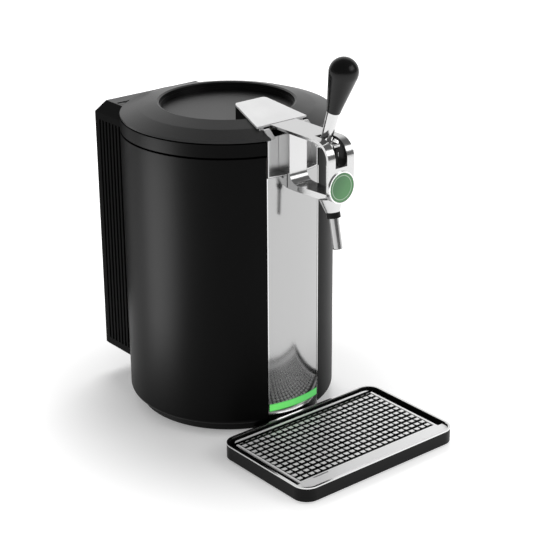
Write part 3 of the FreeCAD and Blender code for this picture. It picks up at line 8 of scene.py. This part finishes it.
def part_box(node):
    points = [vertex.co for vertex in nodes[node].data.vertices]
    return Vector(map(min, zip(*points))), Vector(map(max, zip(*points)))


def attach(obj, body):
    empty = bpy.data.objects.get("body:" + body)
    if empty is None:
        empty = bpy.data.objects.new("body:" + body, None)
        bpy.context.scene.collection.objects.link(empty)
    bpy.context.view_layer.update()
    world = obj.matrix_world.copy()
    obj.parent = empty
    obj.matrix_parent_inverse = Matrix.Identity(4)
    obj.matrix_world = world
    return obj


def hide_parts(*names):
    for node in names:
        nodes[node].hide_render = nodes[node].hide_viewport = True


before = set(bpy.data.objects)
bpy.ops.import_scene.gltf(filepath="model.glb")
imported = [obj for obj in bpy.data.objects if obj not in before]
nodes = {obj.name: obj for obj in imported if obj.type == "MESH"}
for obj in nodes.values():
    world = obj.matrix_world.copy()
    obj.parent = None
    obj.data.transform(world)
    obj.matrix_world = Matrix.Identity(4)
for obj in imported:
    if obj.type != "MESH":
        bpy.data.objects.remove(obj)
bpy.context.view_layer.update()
bodyAxis = 0.06     # y of the round body's own axis
print("frame loaded with", len(nodes), "nodes")


class Wire:
    # one output socket, so that shader maths reads as ordinary sums
    def __init__(self, tree, socket):
        self.tree = tree
        self.socket = socket

    def math(self, operation, *values):
        return self.tree.add("Math", {"operation": operation}, dict(enumerate(values)))

    def __add__(self, other):
        return self.math("ADD", self, other)

    def __radd__(self, other):
        return self.math("ADD", other, self)

    def __sub__(self, other):
        return self.math("SUBTRACT", self, other)

    def __rsub__(self, other):
        return self.math("SUBTRACT", other, self)

    def __mul__(self, other):
        return self.math("MULTIPLY", self, other)

    def __rmul__(self, other):
        return self.math("MULTIPLY", other, self)

    def __truediv__(self, other):
        return self.math("DIVIDE", self, other)

    def __rtruediv__(self, other):
        return self.math("DIVIDE", other, self)

    def __pow__(self, other):
        return self.math("POWER", self, other)

    def __rpow__(self, other):
        return self.math("POWER", other, self)

    def __gt__(self, other):
        return self.math("GREATER_THAN", self, other)

    def __lt__(self, other):
        return self.math("LESS_THAN", self, other)

    def __abs__(self):
        return self.math("ABSOLUTE", self)

    def most(self, other):
        return self.math("MAXIMUM", self, other)

    def smooth(self, low, high):
        settings = {"interpolation_type": "SMOOTHSTEP"}
        return self.tree.add("MapRange", settings, {"Value": self, "From Min": low, "From Max": high})


class Tree:
    # a node tree, with one method that adds any node: its settings first, then its inputs
    def __init__(self, nodeTree):
        self.nodeTree = nodeTree

    def add(self, kind, settings=None, inputs=None, output=0):
        node = self.nodeTree.nodes.new("ShaderNode" + kind)
        for key, value in (settings or {}).items():
            setattr(node, key, value)
        for key, value in (inputs or {}).items():
            if isinstance(value, Wire):
                self.nodeTree.links.new(value.socket, node.inputs[key])
            else:
                node.inputs[key].default_value = value
        return Wire(self, node.outputs[output])

    def axes(self):
        where = self.add("TexCoord", output="Object")
        return [self.add("SeparateXYZ", None, {0: where}, axis) for axis in "XYZ"]

    def noise(self, scale, detail=3, rough=0.5, stretch=None):
        where = self.add("TexCoord", output="Object")
        if stretch:
            where = self.add("VectorMath", {"operation": "MULTIPLY"}, {0: where, 1: stretch})
        inputs = {"Vector": where, "Scale": scale, "Detail": detail, "Roughness": rough}
        return self.add("TexNoise", None, inputs, "Fac")

    def mix(self, amount, first, second):
        # the node's colour sockets are 6 and 7 going in and 2 coming out
        inputs = {"Factor": amount, 6: first, 7: second}
        return self.add("Mix", {"data_type": "RGBA"}, inputs, 2)


class Finish(Tree):
    # one material with a Principled shader; constants go straight onto the shader's own sockets
    def __init__(self, name, **constants):
        self.material = bpy.data.materials.new(name)
        self.material.use_nodes = True
        super().__init__(self.material.node_tree)
        self.shader = self.nodeTree.nodes["Principled BSDF"]
        for socket, value in constants.items():
            self.hold(socket.replace("_", " "), value)

    def hold(self, socket, value):
        self.shader.inputs[socket].default_value = value

    def feed(self, socket, wire):
        self.nodeTree.links.new(wire.socket, self.shader.inputs[socket])

    def bump(self, height, distance):
        self.feed("Normal", self.add("Bump", None, {"Height": height, "Distance": distance}))

    def paintShade(self, mask, level):
        # painted shade: a matt black takes over where the mask is 1, standing in for the shade deep in a seam
        matt = self.add("BsdfDiffuse", None, {"Color": grey(level)})
        blend = self.add("MixShader", None, {0: mask, 1: Wire(self, self.shader.outputs[0]), 2: matt})
        output = self.nodeTree.nodes["Material Output"]
        self.nodeTree.links.new(blend.socket, output.inputs["Surface"])


def grey(level):
    return (level, level, level, 1)


def dress(finish, *names):
    for name in names:
        slots = nodes[name].data.materials
        slots.clear()
        slots.append(finish.material)


bevelValues = {"segments": 2, "angle": 40}


def soften(width, *names):
    # rounds the sharp edges a little, so that they catch the light
    for name in names:
        bevel = nodes[name].modifiers.new("softEdge", "BEVEL")
        bevel.width = width
        bevel.segments = bevelValues["segments"]
        bevel.limit_method = "ANGLE"
        bevel.angle_limit = radians(bevelValues["angle"])


plasticValues = {"cloud": 22, "wear": 7, "wearFrom": 0.55, "wearTo": 0.75, "shares": (0.85, 1.2),
                 "cloudRough": 0.05, "grainRough": 0.04, "wearRough": 0.05}


def mouldedPlastic(name, values):
    # fine spark-eroded grain with faint cloudy wear in the gloss
    common = plasticValues
    finish = Finish(name, Specular_IOR_Level=values["gloss"])
    cloud = finish.noise(common["cloud"], detail=4)
    wear = finish.noise(common["wear"], detail=5, rough=0.6).smooth(common["wearFrom"], common["wearTo"])
    grain = finish.noise(values["grain"], detail=2)
    tint = values.get("tint", (1, 1, 1))
    low, high = ([values["level"] * share * part for part in tint] + [1] for share in common["shares"])
    finish.feed("Base Color", finish.mix(cloud, low, high))
    rough = values["rough"] + common["cloudRough"] * cloud + common["grainRough"] * grain
    finish.feed("Roughness", rough - common["wearRough"] * wear)
    finish.bump(grain, values["depth"])
    return finish


brushedValues = {"cloud": 25, "lineShare": 0.6, "cloudShare": 0.4, "cloudRough": 0.04}


def brushedMetal(name, values):
    # drawn lines along one direction over a slow cloudy change
    common = brushedValues
    finish = Finish(name, Metallic=values.get("metal", 1.0), Specular_IOR_Level=values.get("gloss", 0.5))
    lines = finish.noise(values["lines"], rough=0.6, stretch=values["along"])
    cloud = finish.noise(common["cloud"])
    shade = common["lineShare"] * lines + common["cloudShare"] * cloud
    level = values["level"]
    finish.feed("Base Color", finish.mix(shade, grey(level * values["dull"]), grey(level)))
    finish.feed("Roughness", values["rough"] + values["spread"] * lines + common["cloudRough"] * cloud)
    finish.bump(lines, values["depth"])
    return finish


# black body: shell and collar, lid, rear housing, base
shellValues = {"level": 0.0035, "rough": 0.38, "gloss": 0.06, "grain": 2400, "depth": 0.000015,
               "seam": 0.3304, "seamShadeHalf": 0.0012, "lidGap": 0.3457, "outer": 0.1185, "paintedShade": 0.001,
               "edge": 0.0006}
lidValues = {"level": 0.005, "rough": 0.32, "gloss": 0.36, "grain": 1500, "depth": 0.00004,
             "edge": 0.0003}
housingValues = {"level": 0.0035, "rough": 0.42, "gloss": 0.03, "grain": 1500, "depth": 0.00004,
                 "topCoat": 0.8, "levelFrom": 0.9, "coatRough": 0.35, "edge": 0.0005}
baseValues = {"level": 0.005, "rough": 0.45, "gloss": 0.15, "grain": 1200, "depth": 0.00006}


def makeShellFinish():
    # satin plastic with painted shade: matt black along the seam between shell and collar and along the outer
    # edge under the lid, where the gap lies in shade
    values = shellValues
    finish = mouldedPlastic("satinShell", values)
    x, y, z = finish.axes()
    out = y - bodyAxis
    seam = abs(z - values["seam"]) < values["seamShadeHalf"]
    edge = (z > values["lidGap"]) * ((x * x + out * out) ** 0.5 > values["outer"])
    # painted shade in the seam and in the gap under the lid
    finish.paintShade(seam.most(edge), values["paintedShade"])
    return finish


def makeHousingFinish():
    # matt sides, and a smoother moulding where the top lies level
    finish = mouldedPlastic("texturedHousing", housingValues)
    facing = finish.add("TexCoord", output="Normal")
    upward = finish.add("SeparateXYZ", None, {0: facing}, "Z")
    finish.feed("Coat Weight", housingValues["topCoat"] * (upward > housingValues["levelFrom"]))
    finish.hold("Coat Roughness", housingValues["coatRough"])
    return finish


dress(makeShellFinish(), "body_shell", "collar_ring")
dress(mouldedPlastic("texturedLid", lidValues), "lid_shell")
dress(makeHousingFinish(), "rear_housing", "rear_grille")
dress(mouldedPlastic("baseMoulding", baseValues), "base_plate", "front_carrier", "mouth_ring", "lid_liner")
soften(lidValues["edge"], "lid_shell")
soften(housingValues["edge"], "rear_housing")
soften(shellValues["edge"], "collar_ring")
print("black body finished")

# front panel: polished strip, light band, bright foot band and beads
stripValues = {"level": 0.42, "dull": 0.94, "rough": 0.07, "spread": 0.05, "lines": 1400,
               "along": (1, 1, 0.01), "depth": 0.0000006}
trimValues = {"level": 0.78, "dull": 0.92, "rough": 0.08, "spread": 0.05, "lines": 900,
              "along": (1, 1, 0.1), "depth": 0.0000005}
nicheValues = {"level": 0.66, "dull": 0.88, "rough": 0.24, "spread": 0.08, "lines": 1100,
               "along": (1, 1, 0.04), "depth": 0.000001}
glowValues = {"strength": 0.8, "rough": 0.25, "left": (0.17, 0.74, 0.15, 1), "right": (0.10, 0.48, 0.12, 1),
              "rim": (0.05, 0.3, 0.07, 1), "base": ((0.05, 0.35, 0.08, 1), (0.08, 0.45, 0.1, 1)),
              "reach": 0.035, "middle": 0.03135, "rimFrom": 0.0028, "rimTo": 0.0042, "rimShare": 0.5,
              "cloud": 60, "cloudShare": 0.15}


def makeGlow():
    # lit band: greener at the left, darker towards its upper and lower edge
    values = glowValues
    finish = Finish("glowBand", Emission_Strength=values["strength"], Roughness=values["rough"])
    x, y, z = finish.axes()
    cloud = finish.noise(values["cloud"])
    rim = abs(z - values["middle"]).smooth(values["rimFrom"], values["rimTo"])
    colour = finish.mix(x.smooth(-values["reach"], values["reach"]), values["left"], values["right"])
    shade = rim * values["rimShare"] + cloud * values["cloudShare"]
    finish.feed("Emission Color", finish.mix(shade, colour, values["rim"]))
    finish.feed("Base Color", finish.mix(cloud, *values["base"]))
    return finish


dress(brushedMetal("mirrorStrip", stripValues), "front_strip")
dress(brushedMetal("brightTrim", trimValues), "strip_trim", "foot_band", "tray_rim")
dress(brushedMetal("paleTrim", {**trimValues, "metal": 0.3}), "slot_trim")
dress(brushedMetal("nicheMetal", nicheValues), "niche_liner")
dress(makeGlow(), "light_guide")
print("front panel finished")

# tap, badge and nozzle
tapValues = {"level": 0.62, "dull": 0.94, "rough": 0.13, "cloud": 30, "cloudRough": 0.05, "fine": 1600,
             "fineRough": 0.03, "depth": 0.0000008, "slotHalf": 0.00805, "slotFloor": 0.3304,
             "slotBack": -0.0995, "slotLevel": 0.004, "slotRough": 0.3}
badgeValues = {"height": 0.3087, "radius": 0.0159, "ringFrom": 0.80, "ringTo": 0.86, "depth": 0.00005,
               "pale": (0.45, 0.62, 0.45, 1), "green": (0.09, 0.34, 0.10, 1), "deep": (0.035, 0.20, 0.05, 1),
               "lean": 0.6, "fade": 0.016, "cloud": 400, "cloudShare": 0.15, "cloudDepth": 0.1,
               "rough": 0.35, "coat": 0.6, "coatRough": 0.06}
rimValues = {**trimValues, "level": 0.9, "rough": 0.2}
nozzleValues = {"level": 0.52, "dull": 0.85, "rough": 0.07, "spread": 0.05, "lines": 1500,
                "along": (1, 1, 0.03), "depth": 0.0000006, "ring": 0.0022, "ringLevel": 0.006}
collarValues = {"level": 0.004, "rough": 0.35, "gloss": 0.2, "grain": 1800, "depth": 0.00002}


def makeTapFinish():
    # satin plating; the slot that the lever swings in is left dark
    values = tapValues
    finish = Finish("satinPlating")
    x, y, z = finish.axes()
    cloud = finish.noise(values["cloud"], detail=4)
    fine = finish.noise(values["fine"], detail=2)
    slot = (abs(x) < values["slotHalf"]) * (z > values["slotFloor"]) * (y < values["slotBack"])
    metal = finish.mix(cloud, grey(values["level"] * values["dull"]), grey(values["level"]))
    finish.feed("Base Color", finish.mix(slot, metal, grey(values["slotLevel"])))
    finish.feed("Metallic", 1 - slot)
    rough = values["rough"] + values["cloudRough"] * cloud + values["fineRough"] * fine
    finish.feed("Roughness", rough + values["slotRough"] * slot)
    finish.bump(fine, values["depth"])
    return finish


def makeBadgeFinish():
    # enamelled disc: a pale ring, and green that deepens towards one side
    values = badgeValues
    finish = Finish("badgeEnamel", Coat_Weight=values["coat"], Coat_Roughness=values["coatRough"],
                    Roughness=values["rough"])
    x, y, z = finish.axes()
    up = z - values["height"]
    reach = (x * x + up * up) ** 0.5 / values["radius"]
    ring = (reach > values["ringFrom"]) * (reach < values["ringTo"])
    shade = (up * values["lean"] - x).smooth(-values["fade"], values["fade"])
    cloud = finish.noise(values["cloud"])
    green = finish.mix(shade + cloud * values["cloudShare"], values["green"], values["deep"])
    finish.feed("Base Color", finish.mix(ring, green, values["pale"]))
    finish.bump(ring + values["cloudDepth"] * cloud, values["depth"])
    return finish


def makeNozzleFinish():
    # drawn tube with a black ring at its mouth
    finish = brushedMetal("drawnTube", nozzleValues)
    x, y, z = finish.axes()
    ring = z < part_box("nozzle_tube")[0][2] + nozzleValues["ring"]
    metal = Wire(finish, finish.shader.inputs["Base Color"].links[0].from_socket)
    finish.feed("Base Color", finish.mix(ring, metal, grey(nozzleValues["ringLevel"])))
    finish.feed("Metallic", 1 - ring)
    return finish


dress(makeTapFinish(), "tap_body")
dress(brushedMetal("paleRim", rimValues), "badge_rim")
dress(makeBadgeFinish(), "tap_badge")
dress(mouldedPlastic("nozzleCollar", collarValues), "nozzle_collar")
dress(makeNozzleFinish(), "nozzle_tube")
dress(mouldedPlastic("darkRod", {**collarValues, "level": 0.015}), "valve_rod")
print("tap finished")

# lever
handleValues = {"level": 0.004, "rough": 0.22, "gloss": 0.3, "grain": 900, "depth": 0.000004}
stemValues = {"level": 0.66, "dull": 0.9, "rough": 0.07, "spread": 0.04, "lines": 900,
              "along": (1, 1, 1), "depth": 0.0000004}

dress(mouldedPlastic("leverGrip", handleValues), "lever_handle")
dress(brushedMetal("polishedStem", stemValues), "lever_stem", "lever_pin")
print("lever finished")

# tap cover and the skirt below it
coverValues = {"level": 0.78, "rough": 0.28, "gloss": 0.5, "grain": 1500, "depth": 0.00001,
               "edge": 0.0006}
skirtValues = {"level": 0.004, "rough": 0.3, "gloss": 0.2, "grain": 1500, "depth": 0.00002}

dress(mouldedPlastic("paleCover", coverValues), "tap_cover")
dress(mouldedPlastic("darkSkirt", skirtValues), "cover_frame")
soften(coverValues["edge"], "tap_cover")
print("tap cover finished")

# chamber, cooling unit and fittings
foamValues = {"level": 0.6, "tint": (1.0, 0.97, 0.88), "rough": 0.8, "gloss": 0.2, "grain": 350,
              "depth": 0.0003}
rubberValues = {"level": 0.012, "rough": 0.75, "gloss": 0.25, "grain": 900, "depth": 0.00008}
innerValues = {"level": 0.02, "rough": 0.5, "gloss": 0.4, "grain": 1400, "depth": 0.00004}
linerValues = {"level": 0.72, "dull": 0.85, "rough": 0.25, "spread": 0.1, "lines": 800,
               "along": (0.05, 0.05, 1), "depth": 0.000002, "metal": 0.4}
sinkValues = {"level": 0.62, "dull": 0.85, "rough": 0.35, "spread": 0.1, "lines": 900,
              "along": (1, 1, 0.05), "depth": 0.000002}
pinValues = {"level": 0.65, "dull": 0.85, "rough": 0.22, "spread": 0.08, "lines": 1200,
             "along": (0.1, 1, 1), "depth": 0.000001}
hingeValues = {**pinValues, "level": 0.03, "rough": 0.35}
boardValues = {"level": 0.12, "tint": (0.25, 1.0, 0.4), "rough": 0.35, "gloss": 0.5, "grain": 500,
               "depth": 0.00003}
ceramicValues = {"level": 0.7, "rough": 0.4, "gloss": 0.5, "grain": 700, "depth": 0.00001}

dress(mouldedPlastic("mouldedFoam", foamValues), "insulation_sleeve", "lid_plug")
dress(mouldedPlastic("softRubber", rubberValues), "rubber_feet", "tray_feet", "keg_pad", "lid_gasket")
dress(mouldedPlastic("innerMoulding", innerValues),
      "chassis", "fan_frame", "fan_rotor", "switch_bezel", "power_inlet", "switch_rocker")
dress(brushedMetal("drawnLiner", linerValues), "keg_liner")
dress(brushedMetal("extrudedSink", sinkValues), "heat_sink", "cold_block", "power_supply")
dress(brushedMetal("turnedSteel", pinValues), "cover_pins", "grille_screws")
dress(brushedMetal("blackedSteel", hingeValues), "lid_hinge_pin", "hinge_bracket")
dress(mouldedPlastic("circuitBoard", boardValues), "control_board")
dress(mouldedPlastic("ceramicTile", ceramicValues), "cooling_module")
print("inner parts finished")

# drip tray and its plate
trayValues = {"level": 0.004, "rough": 0.36, "gloss": 0.14, "grain": 1600, "depth": 0.00003}
# near white and hardly metal: the steel's reflection of the bright surroundings painted into its colour, on the
# tongues and the border
plateSheenValues = {"level": 0.97, "dull": 0.88, "rough": 0.26, "spread": 0.14, "lines": 1500,
              "along": (0.02, 1, 1), "depth": 0.000002, "metal": 0.06, "gloss": 1.0}
# painted shade: the near black of the holes and the tray seen below the tongues
plateShadeValues = {"level": 0.003, "rough": 0.4, "gloss": 0.12, "grain": 1500, "depth": 0.00002}
plateValues = {
    "top": 0.0172, "bottom": 0.0157,
    "columns": 24, "rows": 13, "pitch": 0.0082, "row": 0.0085, "first": -0.1804,    # first: y of the front row
    "tongue": 0.0062, "tongueDepth": 0.0048, "slant": 0.0008, "tilt": 0.0003, "sheet": 0.0003, "mouth": 0.0012,
    "front": -0.1995, "back": -0.0700, "half": 0.1013, "backCorner": 0.008,
    "wing": 0.1078, "wingEnd": -0.1876, "wingCorner": 0.010, "wingInset": 0.0035,
    "tabLeft": -0.0832, "tabRight": -0.0626, "tabBack": -0.1862,
}


def roundCorner(centreX, centreY, radius, start, steps=6):
    # a quarter turn of points, from the start angle in degrees
    angles = [radians(start + 90 * k / steps) for k in range(steps + 1)]
    return [(centreX + radius * cos(angle), centreY + radius * sin(angle)) for angle in angles]


def rectangle(left, right, front, back):
    return [(left, front), (right, front), (right, back), (left, back)]


def joinSides(mesh, lower, upper):
    # top, bottom and sides between two rings of as many corners
    count = len(lower)
    faces = [mesh.faces.new(upper), mesh.faces.new(lower[::-1])]
    for k in range(count):
        following = (k + 1) % count
        faces.append(mesh.faces.new((lower[k], lower[following], upper[following], upper[k])))
    return faces


def addPrism(mesh, outline, low, high, material):
    lower = [mesh.verts.new((x, y, low)) for x, y in outline]
    upper = [mesh.verts.new((x, y, high)) for x, y in outline]
    for face in joinSides(mesh, lower, upper):
        face.material_index = material


def addTongue(mesh, x, y, values):
    # one pressed tongue: a thin lip that rises from the web to a mouth at its front
    half = values["tongue"] / 2
    narrow = half - values["slant"]
    top = values["top"]
    back, backTop = y + values["tongueDepth"], top - values["tilt"]
    corners = [(x - narrow, y, top), (x + narrow, y, top), (x + half, back, backTop), (x - half, back, backTop)]
    upper = [mesh.verts.new(corner) for corner in corners]
    lower = [mesh.verts.new((cx, cy, cz - values["sheet"])) for cx, cy, cz in corners]
    joinSides(mesh, lower, upper)


def frontPanelOutline(values):
    # the panel at the front with its two rounded wings; the tab overlaps the band behind it
    # and shows there as a short dark line
    wing, wingEnd, corner = values["wing"], values["wingEnd"], values["wingCorner"]
    cornerY = values["front"] + corner - values["wingInset"]
    outline = [(-wing, wingEnd)]
    outline += roundCorner(-wing + corner, cornerY, corner, 180)
    outline += roundCorner(wing - corner, cornerY, corner, 270)
    outline += [(wing, wingEnd), (values["tabRight"], wingEnd), (values["tabRight"], values["tabBack"])]
    outline += [(values["tabLeft"], values["tabBack"]), (values["tabLeft"], wingEnd)]
    return outline


def makeDripPlate():
    values = plateValues
    mesh = bmesh.new()
    low, high = values["bottom"], values["top"]
    left = -(values["columns"] - 1) * values["pitch"] / 2
    rowFronts = [values["first"] + row * values["row"] for row in range(values["rows"])]
    # tongues, each with its mouth towards the front, in the plate's near white painted sheen
    for y in rowFronts:
        for column in range(values["columns"]):
            addTongue(mesh, left + column * values["pitch"], y, values)
    # web below the tongues, painted near black as the shade seen through the holes: one bar across the plate
    # for each row
    inner = -left + values["pitch"] / 2
    webTop = high - values["tilt"] - values["sheet"]
    for y in rowFronts:
        bar = rectangle(-inner, inner, y + values["mouth"], y + values["tongueDepth"])
        addPrism(mesh, bar, low, webTop, 1)
    # border, near white for a painted sheen of the bright surroundings: front panel, band behind it, thin
    # sides, back band
    half, corner = values["half"], values["backCorner"]
    innerFront = values["first"] - values["row"] + values["tongueDepth"]
    innerBack = rowFronts[-1] + values["tongueDepth"]
    backBand = [(-half, innerBack), (half, innerBack)]
    backBand += roundCorner(half - corner, values["back"] - corner, corner, 0)
    backBand += roundCorner(-half + corner, values["back"] - corner, corner, 90)
    addPrism(mesh, frontPanelOutline(values), low, high, 0)
    addPrism(mesh, rectangle(-half, half, values["wingEnd"], innerFront), low, high, 0)
    addPrism(mesh, rectangle(-half, -inner, innerFront, innerBack), low, high, 0)
    addPrism(mesh, rectangle(inner, half, innerFront, innerBack), low, high, 0)
    addPrism(mesh, backBand, low, high, 0)
    bmesh.ops.recalc_face_normals(mesh, faces=mesh.faces)
    data = bpy.data.meshes.new("dripPlate")
    mesh.to_mesh(data)
    mesh.free()
    plate = bpy.data.objects.new("dripPlate", data)
    bpy.context.scene.collection.objects.link(plate)
    data.materials.append(brushedMetal("platePaintedSheen", plateSheenValues).material)
    data.materials.append(mouldedPlastic("plateShadow", plateShadeValues).material)
    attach(plate, "grille")
    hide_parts("drip_grille")


dress(mouldedPlastic("trayMoulding", trayValues), "drip_tray")
makeDripPlate()
print("drip tray and plate made")

# camera
cameraValues = {"place": (-1.0283, -1.2805, 0.8440), "turn": -39.356, "tilt": 22.446, "roll": -0.306,
                "lens": 101.45, "sensor": 36, "clipEnd": 20}


def makeCamera():
    values = cameraValues
    turn, tilt, roll = (radians(values[key]) for key in ("turn", "tilt", "roll"))
    ahead = Vector((-sin(turn) * cos(tilt), cos(turn) * cos(tilt), -sin(tilt)))
    right = Vector((cos(turn), sin(turn), 0))
    up = right.cross(ahead)
    right, up = right * cos(roll) + up * sin(roll), up * cos(roll) - right * sin(roll)
    data = bpy.data.cameras.new("camera")
    data.lens = values["lens"]
    data.sensor_width = values["sensor"]
    data.clip_end = values["clipEnd"]
    camera = bpy.data.objects.new("camera", data)
    spin = Matrix((right, up, -ahead)).transposed().to_4x4()
    camera.matrix_world = Matrix.Translation(values["place"]) @ spin
    bpy.context.scene.collection.objects.link(camera)
    bpy.context.scene.camera = camera


# floor: pale paper that keeps the object's shadow and is white further off; its glow is weaker near the object,
# a painted shade around the foot
floorValues = {"halfWidth": 5.0, "drop": 0.0002, "level": 0.8, "dull": 0.98, "rough": 0.8, "gloss": 0.1,
               "cloud": 3, "glowNearShade": 0.25, "glowFar": 0.65, "glowReach": (0.14, 0.34)}


def addPlane(name, corners):
    mesh = bpy.data.meshes.new(name)
    mesh.from_pydata(corners, [], [(0, 1, 2, 3)])
    plane = bpy.data.objects.new(name, mesh)
    bpy.context.scene.collection.objects.link(plane)
    return plane


def makeFloor():
    values = floorValues
    half = values["halfWidth"]
    floor = addPlane("floor", [(x, y, 0) for x, y in rectangle(-half, half, -half, half)])
    floor.location.z = -values["drop"]
    finish = Finish("floorPaper", Roughness=values["rough"], Specular_IOR_Level=values["gloss"],
                    Emission_Strength=1.0)
    cloud = finish.noise(values["cloud"])
    finish.feed("Base Color", finish.mix(cloud, grey(values["level"] * values["dull"]), grey(values["level"])))
    x, y, z = finish.axes()
    out = y - bodyAxis
    far = ((x * x + out * out) ** 0.5).smooth(*values["glowReach"])
    seen = finish.add("LightPath", output="Is Camera Ray").most(finish.add("LightPath", output="Is Glossy Ray"))
    # painted shade: less glow near the object, so the floor there stays darker
    glow = finish.mix(far, grey(values["glowNearShade"]), grey(values["glowFar"]))
    finish.feed("Emission Color", finish.mix(seen, grey(0.0), glow))
    floor.data.materials.append(finish.material)


# dark card behind the object, seen in gloss alone, that keeps the body's left edge dark
cardValues = {"left": (-0.148, 0.431), "right": (0.097, 0.368), "top": 0.36, "levels": (0.002, 0.004),
              "cloud": 20}


def makeCard():
    values = cardValues
    left, right, top = values["left"], values["right"], values["top"]
    card = addPlane("card", [(*left, 0), (*right, 0), (*right, top), (*left, top)])
    card.visible_camera = False
    card.visible_diffuse = False
    card.visible_shadow = False
    finish = Finish("cardBlack", Roughness=1.0, Specular_IOR_Level=0.0)
    low, high = values["levels"]
    finish.feed("Base Color", finish.mix(finish.noise(values["cloud"]), grey(low), grey(high)))
    card.data.materials.append(finish.material)


# world: white to the eye; gloss shows a white backdrop behind the object and a dimmer room before it
worldValues = {"diffuse": 0.5, "room": 0.16, "backdrop": (0.634, 0.773, 0.0), "backdropReach": (0.45, 0.85)}


def makeWorld():
    values = worldValues
    world = bpy.data.worlds.new("studio")
    world.use_nodes = True
    tree = Tree(world.node_tree)
    background = world.node_tree.nodes["Background"]
    background.inputs["Color"].default_value = (1, 1, 1, 1)
    towards = tree.add("TexCoord", output="Generated")
    facing = tree.add("VectorMath", {"operation": "DOT_PRODUCT"}, {0: towards, 1: values["backdrop"]}, "Value")
    room = values["room"]
    mirrored = room + facing.smooth(*values["backdropReach"]) * (1 - room)
    eye = tree.add("LightPath", output="Is Camera Ray")
    gloss = tree.add("LightPath", output="Is Glossy Ray")
    lit = values["diffuse"] * (1 - gloss) + mirrored * gloss
    strength = eye + lit * (1 - eye)
    world.node_tree.links.new(strength.socket, background.inputs["Strength"])
    bpy.context.scene.world = world


# lamps: "only" names the pieces that alone receive a lamp
lampValues = {
    "topLamp": {"place": (0.7, 1.0, 1.9), "aim": (0, 0, 0.1), "size": (1.2, 1.0), "power": 24.0,
                "diffuse": True, "gloss": False, "only": ()},
    "sideLamp": {"place": (-0.294, 0.125, 0.15), "aim": (-0.12, 0.058, 0.15), "size": (0.162, 0.30),
                 "power": 1.62, "diffuse": False, "gloss": True,
                 "only": ("body_shell", "collar_ring", "base_plate")},
    "frontLamp": {"place": (0.9, -1.5, 1.3), "aim": (0, 0, 0.2), "size": (1.2, 0.8), "power": 6.5,
                  "diffuse": True, "gloss": True, "only": ()},
}


def makeLamp(name, values):
    data = bpy.data.lights.new(name, "AREA")
    data.shape = "RECTANGLE"
    data.size, data.size_y = values["size"]
    data.energy = values["power"]
    lamp = bpy.data.objects.new(name, data)
    lamp.visible_diffuse = values["diffuse"]
    lamp.visible_glossy = values["gloss"]
    lamp.visible_camera = False
    if values["only"]:
        receivers = bpy.data.collections.new(name + "Receivers")
        for piece in values["only"]:
            receivers.objects.link(nodes[piece])
        lamp.light_linking.receiver_collection = receivers
    ahead = Vector(values["aim"]) - Vector(values["place"])
    turn = ahead.to_track_quat("-Z", "Y").to_matrix().to_4x4()
    lamp.matrix_world = Matrix.Translation(values["place"]) @ turn
    bpy.context.scene.collection.objects.link(lamp)


makeCamera()
makeFloor()
makeCard()
makeWorld()
for lampName, settings in lampValues.items():
    makeLamp(lampName, settings)
bpy.context.scene.view_settings.view_transform = "Standard"
print("camera and studio made")
